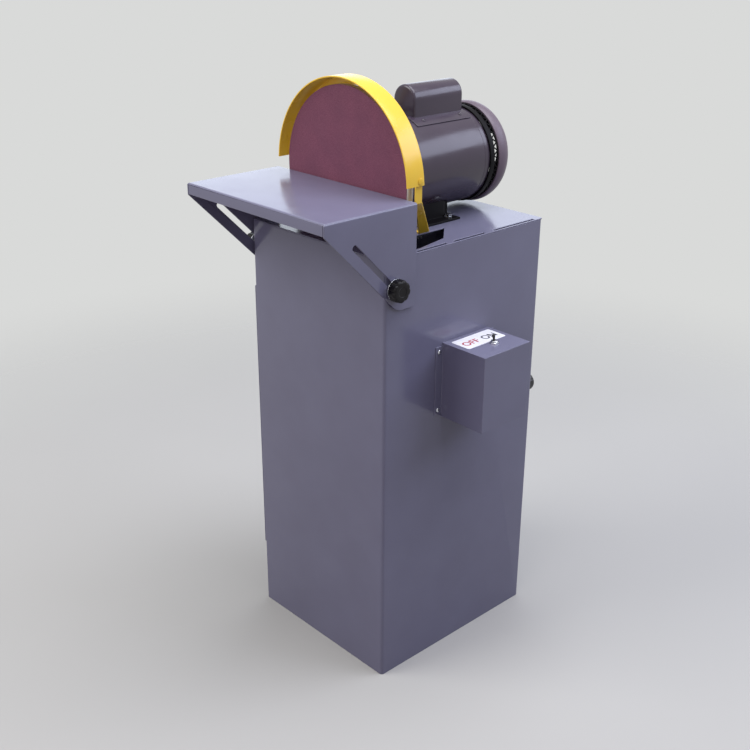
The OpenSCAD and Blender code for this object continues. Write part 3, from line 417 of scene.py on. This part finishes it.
# Fasteners: one screw or bolt stood at each point, along the point's own turn
fasteners, given = pattern("Fasteners", [("Fastener", "Object")])
one = add(fasteners, "GeometryNodeObjectInfo", {"Object": given["Fastener"]})
way = add(fasteners, "GeometryNodeInputNamedAttribute", values={"Name": "turn"}, data_type="FLOAT_VECTOR")
facing = add(fasteners, "FunctionNodeEulerToRotation", {"Euler": way.outputs["Attribute"]})
stood = add(fasteners, "GeometryNodeInstanceOnPoints", {
    "Points": given["Geometry"], "Instance": one.outputs["Geometry"], "Rotation": facing.outputs[0]})
ends(fasteners, given, stood.outputs[0])

# A band bent round the spindle: the base mesh is its section, radial by axial
band, given = pattern("Bent_band", [
    ("Radius", "Float"), ("Start", "Float"), ("Sweep", "Float"), ("Steps", "Int"), ("Station", "Vector")])
outline = add(band, "GeometryNodeMeshToCurve", {"Mesh": given["Geometry"]})
arch = add(band, "GeometryNodeCurveArc", {
    "Resolution": given["Steps"], "Radius": given["Radius"], "Start Angle": given["Start"],
    "Sweep Angle": given["Sweep"]}, mode="RADIUS")
upright = add(band, "GeometryNodeSetCurveNormal", {"Curve": arch.outputs[0]}, mode="Z_UP")
swept = add(band, "GeometryNodeCurveToMesh", {
    "Curve": upright.outputs[0], "Profile Curve": outline.outputs[0]}, {"Fill Caps": True})
stationed = add(band, "GeometryNodeTransform", {
    "Geometry": swept.outputs[0], "Translation": given["Station"]}, {"Rotation": (pi / 2, 0, 0)})
ends(band, given, stationed.outputs[0])

# A zigzag of ribs round the spindle
lattice, given = pattern("Zigzag_vent", [
    ("Ribs", "Int"), ("Radius", "Float"), ("Wall", "Float"), ("Rib width", "Float"), ("Swing", "Float"),
    ("Station", "Vector")])
twice = add(lattice, "ShaderNodeMath", {0: given["Ribs"]}, {1: 2.0}, operation="MULTIPLY")
circle = add(lattice, "GeometryNodeMeshCircle", {"Vertices": twice.outputs[0], "Radius": given["Radius"]})
number = add(lattice, "GeometryNodeInputIndex")
odd = add(lattice, "ShaderNodeMath", {0: number.outputs[0]}, {1: 2.0}, operation="MODULO")
sided = add(lattice, "ShaderNodeMath", {0: odd.outputs[0]}, {1: 0.5}, operation="SUBTRACT")
tall = add(lattice, "ShaderNodeMath", {0: sided.outputs[0], 1: given["Swing"]}, operation="MULTIPLY")
lift = add(lattice, "ShaderNodeCombineXYZ", {"Z": tall.outputs[0]})
zigzag = add(lattice, "GeometryNodeSetPosition", {"Geometry": circle.outputs[0], "Offset": lift.outputs[0]})
wire = add(lattice, "GeometryNodeMeshToCurve", {"Mesh": zigzag.outputs[0]})
upright = add(lattice, "GeometryNodeSetCurveNormal", {"Curve": wire.outputs[0]}, mode="Z_UP")
bar = add(lattice, "GeometryNodeCurvePrimitiveQuadrilateral",
          {"Width": given["Wall"], "Height": given["Rib width"]})
ribs = add(lattice, "GeometryNodeCurveToMesh",
           {"Curve": upright.outputs[0], "Profile Curve": bar.outputs[0]}, {"Fill Caps": True})
stationed = add(lattice, "GeometryNodeTransform", {
    "Geometry": ribs.outputs[0], "Translation": given["Station"]}, {"Rotation": (pi / 2, 0, 0)})
ends(lattice, given, stationed.outputs[0])


# Screws and bolts

FASTENER_STEPS = 48
# Shares of the thread's size: width across flats, height of a nut and of a head
FLATS, NUT_TALL, HEAD_TALL = 1.6, 0.8, 0.65
# Shares of the flats: radius where the chamfer starts, and of the washer face
CROWN, FACE = 0.46, 0.565
CHAMFER = 0.3
# Degrees that each fastener is turned further than the last
SCREW_TURN = 37


def six_sided(flats, top):
    """Reshapes a turned outline to a hexagon where its radius is half the flats, chamfered at the top."""
    slope = 0.55

    def form(angle, radius, height):
        if abs(radius - flats / 2) > SAME:
            return radius, height
        wide = radius / cos((angle + pi / 6) % (pi / 3) - pi / 6)
        return wide, height - (wide - radius) * slope if abs(height - top) < SAME else height
    return form


def hexagon_nut(size, grip):
    """Nut that closes on the far side of a grip below the origin."""
    flats, far = size * FLATS, -grip - size * NUT_TALL
    return turned([(size / 2, -grip), (flats * CROWN, -grip), (flats / 2, -grip - CHAMFER), (flats / 2, far),
                   (size / 2, far)], steps=FASTENER_STEPS, form=six_sided(flats, -grip - CHAMFER))


def domed_bolt(size, length, grip):
    """Coach bolt with a low domed head, its underside at the origin, and its nut."""
    tall, rim = size * 0.12, 0.1
    dome = [(size * sin(a), tall * cos(a)) for a in arc(6)[:0:-1]]
    head = turned([(0, -length), (size / 2, -length), (size / 2, 0), (size - rim, 0)] + dome + [(0, tall)],
                  steps=FASTENER_STEPS)
    return together(head, hexagon_nut(size, grip))


def hexagon_bolt(size, length, grip):
    """Bolt with a washer-faced hexagon head, its underside at the origin, and its nut."""
    flats, tall, washer_t, dish = size * FLATS, size * HEAD_TALL, 0.6, 0.15
    face = flats * FACE
    head = turned([(0, -length), (size / 2, -length), (size / 2, 0), (face, 0), (face, washer_t),
                   (flats / 2, washer_t + 0.1), (flats / 2, tall - CHAMFER), (flats * CROWN, tall),
                   (0, tall - dish)], steps=FASTENER_STEPS, form=six_sided(flats, tall - CHAMFER))
    return together(head, hexagon_nut(size, grip))


def cross_screw(size, head, tall, length):
    """Pan-head screw with a cross recess, its head's underside at the origin."""
    wing, arm, deep, wall, taper = head * 0.07, head * 0.27, tall * 0.4, 0.35, 0.55
    crown = [(head / 2 * cos(a), tall * (wall + (1 - wall) * sin(a))) for a in arc(6)[:-1]]
    body = turned([(0, -length), (size / 2, -length), (size / 2, 0), (head / 2 - 0.15, 0), (head / 2, 0.2)]
                  + crown + [(0, tall)], steps=FASTENER_STEPS)
    plus = [(arm, -wing), (arm, wing), (wing, wing), (wing, arm), (-wing, arm), (-wing, wing),
            (-arm, wing), (-arm, -wing), (-wing, -wing), (-wing, -arm), (wing, -arm), (wing, -wing)]
    cutter = lofted([[(x * s, y * s, z) for x, y in plus] for s, z in ((taper, deep), (1.0, tall + 1))])
    things = []
    for label, shape in (("blank", body), ("recess", cutter)):
        mesh = bpy.data.meshes.new(label)
        shape.to_mesh(mesh)
        shape.free()
        things.append(bpy.data.objects.new(label, mesh))
        bpy.context.scene.collection.objects.link(things[-1])
    cut = things[0].modifiers.new("Recess", "BOOLEAN")
    cut.object = things[1]
    cut.operation = "DIFFERENCE"
    cut.solver = "EXACT"
    mesh = bpy.data.meshes.new_from_object(things[0].evaluated_get(bpy.context.evaluated_depsgraph_get()))
    shape = bmesh.new()
    shape.from_mesh(mesh)
    for thing in things:
        bpy.data.objects.remove(thing)
    return shape


def set_out(slot, model, places):
    """Stands one fastener model at each (point, direction), each turned a little further than the last."""
    template_mesh = bpy.data.meshes.new("fastener")
    model.to_mesh(template_mesh)
    model.free()
    template = bpy.data.objects.new("fastener", template_mesh)
    bpy.context.scene.collection.objects.link(template)
    base = bpy.data.meshes.new("places")
    base.from_pydata([point for point, direction in places], [], [])
    turns = base.attributes.new("turn", "FLOAT_VECTOR", "POINT")
    for i, (point, direction) in enumerate(places):
        twist = Matrix.Rotation(radians(SCREW_TURN * i), 3, "Z").to_quaternion()
        turns.data[i].vector = (Vector(direction).to_track_quat("Z", "Y") @ twist).to_euler()
    mesh = grown(fasteners, base, slot, Fastener=template)
    bpy.data.objects.remove(template)
    return mesh


def fastened(node, slot, model, places):
    """One piece for a node's fasteners."""
    return piece(node + ".dressed", set_out(slot, model, places), slot, [node], crease=FASTENER_CREASE)


SHEET_SCREW = {"size": 4, "head": 8, "tall": 2.6, "length": 9}
wrap_high = span("cabinet_wrap")[1]
deck_z = span("deck_plate")[1].z

low, high = span("access_panel")
edge_y, edge_z = 10, 23
fastened("access_panel_screws", "zinc", cross_screw(**SHEET_SCREW), [
    ((low.x, y, z), (-1, 0, 0)) for y in (low.y + edge_y, high.y - edge_y)
    for z in (low.z + edge_z, (low.z + high.z) / 2, high.z - edge_z)])
edge_x, heights = 12, (0.06, 0.5, 0.94)
fastened("rear_panel_screws", "zinc", cross_screw(**SHEET_SCREW), [
    ((side * (wrap_high.x - edge_x), span("rear_panel")[1].y, wrap_high.z * share), (0, 1, 0))
    for side in (-1, 1) for share in heights])
box_low, box_high = span("switch_box_cover")
flange_t, edge_y, edge_z = 1.5, 8, 15
fastened("switch_box_screws", "zinc", cross_screw(**SHEET_SCREW), [
    ((box_low.x + flange_t, y, z), (1, 0, 0)) for y in (box_low.y + edge_y, box_high.y - edge_y)
    for z in (box_low.z + edge_z, box_high.z - edge_z)])
cover_low, cover_high = span("capacitor_cover")
shell_r = span("motor_shell")[1].x
saddle_lip, saddle_t, screw_lean = 12, 2, radians(25)
arch_y = cover_low.y + saddle_lip
arch_l = cover_high.y - arch_y
fastened("capacitor_cover_screws", "motor_enamel", cross_screw(size=4, head=7, tall=2, length=3), [
    ((side * (shell_r + saddle_t) * sin(screw_lean), arch_y + share * arch_l,
      AXIS_Z + (shell_r + saddle_t) * cos(screw_lean)), (side * sin(screw_lean), 0, cos(screw_lean)))
    for side in (-1, 1) for share in (0.1, 0.85)])
cap_head = 9
cap_screw_r = (span("end_cap_screws")[1].x - cap_head / 2) * sqrt(2)
fastened("end_cap_screws", "zinc", cross_screw(size=5, head=cap_head, tall=3.2, length=49), [
    ((cap_screw_r * cos(a), span("end_cap")[1].y, AXIS_Z - cap_screw_r * sin(a)), (0, 1, 0))
    for a in [radians(45 + 90 * i) for i in range(4)]])
foot_low, foot_high = span("motor_base")
foot_x, foot_t, foot_edge = 62, 4, 13
fastened("motor_foot_bolts", "zinc", hexagon_bolt(size=8, length=18.9, grip=11.5), [
    ((side * foot_x, y, deck_z + foot_t), (0, 0, 1))
    for side in (-1, 1) for y in (foot_low.y + foot_edge, foot_high.y - foot_edge)])
guard_low, guard_high = span("disc_guard")
leg_x, leg_t, leg_edge = 89.2, 3, 12
fastened("guard_bolts", "zinc", hexagon_bolt(size=6, length=16.3, grip=10.5), [
    ((side * leg_x, span("guard_legs")[1].y - leg_edge, deck_z + leg_t), (0, 0, 1)) for side in (-1, 1)])
band_y, band_up = -112, 7
piece("guard_band_bolts", set_out("yellow_enamel", domed_bolt(size=6, length=14, grip=7.1), [
    ((side * guard_high.x, band_y, guard_low.z + band_up), (side, 0, 0)) for side in (-1, 1)]),
    "yellow_enamel", body="cabinet", crease=FASTENER_CREASE)


# Sheet metal and other plain solids, by slot, with the width of their broken edges in millimetres

EASED = {
    "grey_enamel": {"cabinet_wrap": 0.5, "deck_plate": 0.9, "rear_panel": 0.4, "access_panel": 0.6,
                    "table": 0.6, "switch_box_cover": 0.6, "switch_box_back": 0.3},
    "yellow_enamel": {"guard_legs": 0.6},
    # The motor base is coloured satin black as painted shade: it stands where the motor's shadow falls, and
    # the black stands in for that shade
    "motor_black": {"motor_base": 1.0},
    "bare_plate": {"motor_stiffener": 0.5, "base_pan": 0.4, "pivot_plates": 0.4},
    "zinc": {"spacer_washers": 0.3, "slot_bushes": 0.25, "clamp_washers": 0.3, "table_studs": 0.4},
    "hub_iron": {"disc_hub": 0.6},
    "motor_enamel": {"rear_end_bell": 0.4},
}
for slot, edges in EASED.items():
    for node, edge in edges.items():
        eased(node, slot, edge)
# The end cap gets a paler coat than the motor: painted light that stands in for the light it catches
eased("end_cap", "motor_enamel", 0.4, coat=FAN_COVER_WITH_PAINTED_LIGHT)


# Disc, guard and motor

SPINDLE = Matrix.Translation((0, 0, AXIS_Z)) @ Matrix.Rotation(radians(-90), 4, "X")
# Steps round a whole turn
DISC_STEPS, MOTOR_STEPS = 256, 192


def flat_disc(node, front, rear):
    """A plain disc in a node's place, its front and rear rim rounded to these radii."""
    low, high = span(node)
    rim = soften([(0, low.y, 0), (high.x, low.y, front), (high.x, high.y, rear), (0, high.y, 0)])
    return turned(rim, SPINDLE, DISC_STEPS)


piece("disc_plate.turned", flat_disc("disc_plate", 0.8, 1.5), "disc_aluminium", ["disc_plate"])
piece("abrasive_sheet.glued", flat_disc("abrasive_sheet", 0.4, 0), "abrasive_cloth", ["abrasive_sheet"])

wide = guard_high.y - guard_low.y
guard_t, lip, trim, bend = 2.5, 15, 0.6, 3.0
inner_r = guard_high.x - guard_t
outline = soften([(0, 0, trim), (guard_t, 0, trim), (guard_t, wide, bend), (-lip, wide, trim),
                  (-lip, wide - guard_t, trim), (0, wide - guard_t, trim)])
section = bpy.data.meshes.new("guard_section")
section.from_pydata([(u, v, 0) for u, v in outline],
                    [(i, (i + 1) % len(outline)) for i in range(len(outline))], [])
lean = (guard_low.z - AXIS_Z) / inner_r
bent = grown(band, section, "yellow_enamel", Radius=inner_r, Start=lean, Sweep=pi - 2 * lean, Steps=180,
             Station=(0.0, guard_low.y, AXIS_Z))
piece("disc_guard.bent", bent, "yellow_enamel", ["disc_guard"])

low, high = span("motor_shell")
shell_in = shell_r - 2.5
piece("motor_shell.rolled", turned(soften([
    (shell_in, low.y, 0.5), (shell_r, low.y, 0.9), (shell_r, high.y, 0.5), (shell_in, high.y, 0)]),
    SPINDLE, MOTOR_STEPS), "motor_enamel", ["motor_shell"])

# The front bell's face, the back of its wall, the end of its bearing seat, its rim and its spigot's end
face = span("front_end_bell")[0].y
wall, seat_end, rim, spigot_end = face + 4, face + 18, face + 21, face + 27
bore_r, seat_r, boss_r, web_r, nose_r = 11, 23.55, 28.5, 38, 42
spigot_r, spigot_in = shell_r - 2.55, shell_r - 6.5
piece("front_end_bell.cast", turned(soften([
    (bore_r, face, 0.5), (nose_r, face, 5), (shell_r, rim, 1.2), (spigot_r, rim, 0),
    (spigot_r, spigot_end, 0.4), (spigot_in, spigot_end, 0), (spigot_in, rim, 0), (web_r, wall, 3),
    (boss_r, wall, 1), (boss_r, seat_end, 0.6), (seat_r, seat_end, 0.6), (seat_r, wall, 0),
    (bore_r, wall, 0)]), SPINDLE, MOTOR_STEPS), "motor_enamel", ["front_end_bell"])

vent_low, vent_high = span("vent_ring")
vent_r, vent_t, front_rim, back_rim, rib_lap = vent_high.x, 3, 11, 2, 2.0
gap = vent_high.y - vent_low.y - front_rim - back_rim
ring = bmesh.new()
ring.from_mesh(grown(
    lattice, bpy.data.meshes.new("none"), "motor_black", Ribs=36, Radius=vent_r - vent_t / 2, Wall=2.8,
    Rib_width=2.0, Swing=gap + rib_lap, Station=(0.0, vent_low.y + front_rim + gap / 2, AXIS_Z)))
vent_in, rims = vent_r - vent_t, []
for y0, y1 in ((vent_low.y, vent_low.y + front_rim), (vent_high.y - back_rim, vent_high.y)):
    outline = soften([(vent_in, y0, 0.4), (vent_r, y0, 0.7), (vent_r, y1, 0.7), (vent_in, y1, 0.4)], 3)
    rims.append(turned(outline, SPINDLE, MOTOR_STEPS))
piece("vent_ring.pressed", together(ring, *rims), "motor_black", ["vent_ring"])

half, can_round, foot_up, peak = 27, 5, 1.5, cover_high.z
stations = [(arch_y + can_round * (1 - sin(a)), can_round * (1 - cos(a))) for a in arc(6)[::-1]]
stations += [(arch_y + arch_l - can_round * (1 - sin(a)), can_round * (1 - cos(a))) for a in arc(6)]
sections = []
for y, edge_in in stations:
    reach = half - edge_in
    rise = [(reach * cos(a), peak - half + reach * sin(a)) for a in arc(32, pi)]
    foot_z = AXIS_Z + sqrt((shell_r + foot_up) ** 2 - reach ** 2)
    sections.append([(x, y, z) for x, z in [(reach, foot_z)] + rise + [(-reach, foot_z)]])
piece("capacitor_cover.drawn", lofted(sections), "motor_enamel", ["capacitor_cover"])
saddle_half, skin = 0.576, 0.05
strip = ((cover_low.y, skin), (cover_low.y, saddle_t), (cover_high.y, saddle_t), (cover_high.y, skin))
saddle = lofted([[((shell_r + up) * sin(a), y, AXIS_Z + (shell_r + up) * cos(a)) for y, up in strip]
                 for a in [saddle_half * (k / 16 - 1) for k in range(33)]])
piece("capacitor_saddle", saddle, "motor_enamel", body="cabinet", edge=0.8)


# Knobs, switch and gland

LOBES, LOBE_R, KNOB_R, CORE_R, KNOB_L = 9, 7.5, 19.5, 9, 16
LOBE_AT = KNOB_R - LOBE_R


def lobed(angle, radius, height):
    """Lobes on a knob's rim, fading out towards its middle."""
    if radius < CORE_R:
        return radius, height
    apart = (angle + pi / LOBES) % (2 * pi / LOBES) - pi / LOBES
    rim = LOBE_AT * cos(apart) + sqrt(LOBE_R ** 2 - (LOBE_AT * sin(apart)) ** 2)
    return CORE_R + (radius - CORE_R) * (rim - CORE_R) / (KNOB_R - CORE_R), height


dish_r, dish_z, bore_r, bore_z, flange_r, flange_z = 8, 15.2, 7.1, 14, 8.6, 1.55
knob_outline = soften([
    (flange_r, 0, 0.3), (KNOB_R, 0, 1.5), (KNOB_R, KNOB_L, 4.5), (CORE_R, KNOB_L, 3), (dish_r, dish_z, 1.5),
    (0, dish_z, 0), (0, bore_z, 0), (bore_r, bore_z, 0), (bore_r, flange_z, 0), (flange_r, flange_z, 0)])
for side, node in ((1, "clamp_knob_right"), (-1, "clamp_knob_left")):
    low, high = span(node)
    centre = (low + high) / 2
    place = Matrix.Translation((low.x if side > 0 else high.x, centre.y, centre.z)) \
        @ Matrix.Rotation(radians(90 * side), 4, "Y")
    piece(node + ".moulded", turned(knob_outline, place, LOBES * 24, lobed), "knob_black", [node], crease=50)

body_low, body_high = span("toggle_body")
nut_low, nut_high = span("toggle_nut")
tx, ty = (nut_low.x + nut_high.x) / 2, (nut_low.y + nut_high.y) / 2
top = box_high.z
on_box = Matrix.Translation((tx, ty, top))
pivot_up, half_throw = 3.5, radians(13)
pivot = Matrix.Translation((tx, ty, top + pivot_up)) @ Matrix.Rotation(-half_throw, 4, "Y")
ball_r, neck_r, neck_z, tip_r, tip_z = 3.4, 2.0, 4.5, 3.1, 10
ball = [(ball_r * sin(a), -ball_r * cos(a)) for a in arc(12, pi)[:10]]
tip = [(tip_r * cos(a), tip_z + tip_r * sin(a)) for a in arc(8)]
piece("toggle_lever.turned", turned(ball + [(neck_r, neck_z)] + tip[:-1] + [(0, tip_z + tip_r)], pivot,
                                    FASTENER_STEPS), "black_nylon", ["toggle_lever"])
nut_bore, nut_flats, nut_edge, nut_t = 6.2, 15, 2.3, 2.6
piece("toggle_nut.turned", turned(
    [(nut_bore, 0), (7.1, 0), (nut_flats / 2, 0.3), (nut_flats / 2, nut_edge), (7.0, nut_t),
     (nut_bore, nut_t)], on_box, FASTENER_STEPS, six_sided(nut_flats, nut_edge)), "zinc", ["toggle_nut"])
bush_r, bush_bore, bush_low, bush_high, groove, half_pitch = 6.0, 4.0, -1.5, 5.5, 0.35, 0.45
threads = [(bush_r - groove * (k % 2), 0.3 + half_pitch * k) for k in range(12)]
piece("toggle_bushing", turned(
    [(bush_bore, bush_low), (bush_r, bush_low)] + threads
    + [(bush_r - 0.5, bush_high), (bush_bore + 0.2, bush_high), (bush_bore, bush_high - 0.3)],
    on_box, FASTENER_STEPS), "zinc", body="cabinet", crease=60)
block_round, under_box = 1, 1.55
block = soften([(x, y, block_round) for x, y in (
    (body_low.x, body_low.y), (body_high.x, body_low.y), (body_high.x, body_high.y),
    (body_low.x, body_high.y))])
piece("toggle_body.moulded", lofted([[(x, y, z) for x, y in block] for z in (body_low.z, top - under_box)]),
      "black_nylon", ["toggle_body"], edge=0.4)

low, high = span("switch_plate")
plate_round, word_edge, letter_size, letter_t, letter_swell = 4, 12, 22, 0.03, 0.35
outline = soften([(x, y, plate_round) for x, y in (
    (low.x, low.y), (high.x, low.y), (high.x, high.y), (low.x, high.y))])
piece("switch_plate.printed", lofted([[(x, y, z) for x, y in outline] for z in (low.z, high.z)]),
      "white_plate", ["switch_plate"], edge=0.15)
for word, y, coat in (("OFF", -23, RED_INK), ("ON", 24, INK)):
    letters = bpy.data.curves.new(word, "FONT")
    letters.body = word
    letters.size = letter_size
    letters.extrude = letter_t
    letters.offset = letter_swell
    letters.align_x = "CENTER"
    written = bpy.data.objects.new(word, letters)
    bpy.context.scene.collection.objects.link(written)
    depsgraph = bpy.context.evaluated_depsgraph_get()
    mesh = bpy.data.meshes.new_from_object(written.evaluated_get(depsgraph))
    bpy.data.objects.remove(written)
    shape = bmesh.new()
    shape.from_mesh(mesh)
    shape.transform(Matrix.Translation((high.x - word_edge, y, high.z + letter_t))
                    @ Matrix.Rotation(radians(90), 4, "Z"))
    piece("word_" + word.lower(), outward(shape), "black_nylon", body="cabinet", coat=coat)

low, high = span("cable_gland")
centre = (low + high) / 2
rear_t = 2.5
at_gland = Matrix.Translation((centre.x, wrap_high.y + rear_t, centre.z)) \
    @ Matrix.Rotation(radians(-90), 4, "X")
# The gland's bore, its hexagon's flats and height, its cap's radius, dome and where that starts
GLAND_BORE, GLAND_FLATS, HEX_L, CAP_R, DOME_R, DOME_Z = 5.5, 34, 9, 18, 8, 22
FLUTES, FLUTE_DEEP = 12, 0.8


def fluted(angle, radius, height):
    """Shallow grip flutes round the gland's cap, run out before its dome."""
    if radius < CAP_R - 3 or height < HEX_L + 1 or height > DOME_Z + 1:
        return radius, height
    return radius - FLUTE_DEEP * max(0.0, cos(angle * FLUTES)) ** 2, height


edge_r, edge_z, cap_z, gland_end = GLAND_FLATS / 2, HEX_L - 0.4, HEX_L + 0.01, DOME_Z + DOME_R
hexed = turned([(GLAND_BORE, 0), (edge_r, 0), (edge_r, edge_z), (edge_r - 1, HEX_L), (GLAND_BORE, HEX_L)],
               at_gland, 96, six_sided(GLAND_FLATS, edge_z))
dome = turned([(GLAND_BORE, cap_z), (CAP_R - 0.9, cap_z), (CAP_R - 0.1, 9.6)]
              + [(CAP_R, height) for height in (10.5, 16, 21.9)]
              + [(CAP_R - DOME_R + DOME_R * cos(a), DOME_Z + DOME_R * sin(a)) for a in arc(8)]
              + [(GLAND_BORE + 0.6, gland_end), (GLAND_BORE, gland_end - 0.6)], at_gland, FLUTES * 12, fluted)
stem_r, stem_l, clear_z = 10, 8.5, -0.01
stem = turned([(GLAND_BORE, -stem_l), (stem_r - 0.4, -stem_l), (stem_r, 0.5 - stem_l), (stem_r, clear_z),
               (GLAND_BORE, clear_z)], at_gland, 64)
piece("cable_gland.moulded", together(hexed, dome, stem), "black_nylon", ["cable_gland"])


# Floor, light and camera

def looked_at(tree):
    """1 on rays from the camera, a mirror-like surface or glass, 0 on light that only bounces about."""
    path = add(tree, "ShaderNodeLightPath").outputs
    mirrored = add(tree, "ShaderNodeMath", {0: path["Is Glossy Ray"], 1: path["Is Transmission Ray"]},
                   operation="MAXIMUM")
    return add(tree, "ShaderNodeMath", {0: path["Is Camera Ray"], 1: mirrored.outputs[0]},
               operation="MAXIMUM").outputs[0]


# Painted studio floor: matt and pale, running out into the pale room behind it
floor_mesh = bpy.data.meshes.new("floor")
reach, mottle_mm, fade_from, fade_to = 30, 600, 0.9, 2.3
floor_mesh.from_pydata([(-reach, -reach, 0), (reach, -reach, 0), (reach, reach, 0), (-reach, reach, 0)], [],
                       [(0, 1, 2, 3)])
floor = bpy.data.objects.new("floor", floor_mesh)
bpy.context.scene.collection.objects.link(floor)
made, tree, shader, place = finish("pale_studio_floor", Roughness=0.9, Specular_IOR_Level=0.2)
seen = looked_at(tree)
faint = add(tree, "ShaderNodeTexNoise", {"Vector": place}, {"Scale": per(mottle_mm), "Detail": 2.0})
pale = add(tree, "ShaderNodeMix", {0: faint.outputs["Fac"]}, {6: linear("#b4b2ad"), 7: linear("#b9b7b2")},
           data_type="RGBA")
bounce = add(tree, "ShaderNodeMix", {0: seen, 7: pale.outputs[2]}, {6: linear("#4f4552")}, data_type="RGBA")
tree.links.new(bounce.outputs[2], shader.inputs["Base Color"])
away = add(tree, "ShaderNodeVectorMath", {0: place}, operation="LENGTH")
fade = add(tree, "ShaderNodeMapRange", {"Value": away.outputs["Value"]},
           {"From Min": fade_from, "From Max": fade_to}, interpolation_type="SMOOTHSTEP")
gone = add(tree, "ShaderNodeMath", {0: fade.outputs["Result"], 1: seen}, operation="MULTIPLY")
clear = add(tree, "ShaderNodeBsdfTransparent")
run_out = add(tree, "ShaderNodeMixShader", {0: gone.outputs[0], 1: shader.outputs[0], 2: clear.outputs[0]})
tree.links.new(run_out.outputs[0], tree.nodes["Material Output"].inputs["Surface"])
floor_mesh.materials.append(made)

# The room: even light on the part, and a plain pale backdrop for what is looked at
world = bpy.data.worlds.new("pale_room")
bpy.context.scene.world = world
world.use_nodes = True
tree = world.node_tree
lighting = tree.nodes["Background"]
lighting.inputs["Color"].default_value = linear("#e8ecf8")
lighting.inputs["Strength"].default_value = 0.36
backdrop = add(tree, "ShaderNodeBackground", values={"Color": linear("#d9dad9"), "Strength": 1.0})
room = add(tree, "ShaderNodeMixShader", {0: looked_at(tree), 1: lighting.outputs[0], 2: backdrop.outputs[0]})
tree.links.new(room.outputs[0], tree.nodes["World Output"].inputs["Surface"])


def softbox(name, wide, tall, power, where, aim, tint="#ffffff"):
    """A large area lamp at one point, turned towards another."""
    lamp = bpy.data.lights.new(name, "AREA")
    lamp.shape = "RECTANGLE"
    lamp.size, lamp.size_y, lamp.energy = wide, tall, power
    lamp.color = linear(tint)[:3]
    holder = bpy.data.objects.new(name, lamp)
    holder.matrix_world = Matrix.Translation(where) @ (Vector(aim) - Vector(where)).to_track_quat(
        "-Z", "Y").to_matrix().to_4x4()
    bpy.context.scene.collection.objects.link(holder)


# Width and height in metres, power in watts, place and aim in metres
softbox("front_left_box", 2.2, 2.2, 77, (-1.4, -2.6, 2.9), (0, 0, 0.6))
softbox("rear_left_box", 3.0, 2.0, 24, (-2.8, 2.6, 1.7), (0, 0, 0.9), "#e0ecff")
softbox("right_rear_box", 2.6, 1.3, 42, (1.85, 1.9, 2.3), (0, 0.05, 1.0), "#dfe6ff")
softbox("right_front_box", 0.9, 0.9, 8, (1.05, -2.4, 1.3), (0.1, 0, 0.7), "#ffeef4")
softbox("overhead_box", 2.4, 2.4, 90, (0.5, 0.35, 3.4), (0, 0.2, 0.8), "#f4f6ff")

# The camera, fitted to the photo's corners: it aims a little to the left of the part's middle
camera = bpy.data.cameras.new("camera")
camera.lens, camera.sensor_width = 52.57, 36
az, el, roll = radians(47.0), radians(23.33), radians(0.29)
right = Vector((cos(az), sin(az), 0))
up = Vector((-sin(az) * sin(el), cos(az) * sin(el), cos(el)))
back = Vector((sin(az) * cos(el), -cos(az) * cos(el), sin(el)))
right, up = cos(roll) * right + sin(roll) * up, cos(roll) * up - sin(roll) * right
aside, aim_z, distance = 0.041, 0.5092, 2.132
eye = Vector((-aside * cos(az), -aside * sin(az), aim_z)) + distance * back
looker = bpy.data.objects.new("camera", camera)
looker.matrix_world = Matrix.Translation(eye) @ Matrix((right, up, back)).transposed().to_4x4()
bpy.context.scene.collection.objects.link(looker)
bpy.context.scene.camera = looker
bpy.context.scene.view_settings.view_transform = "Standard"
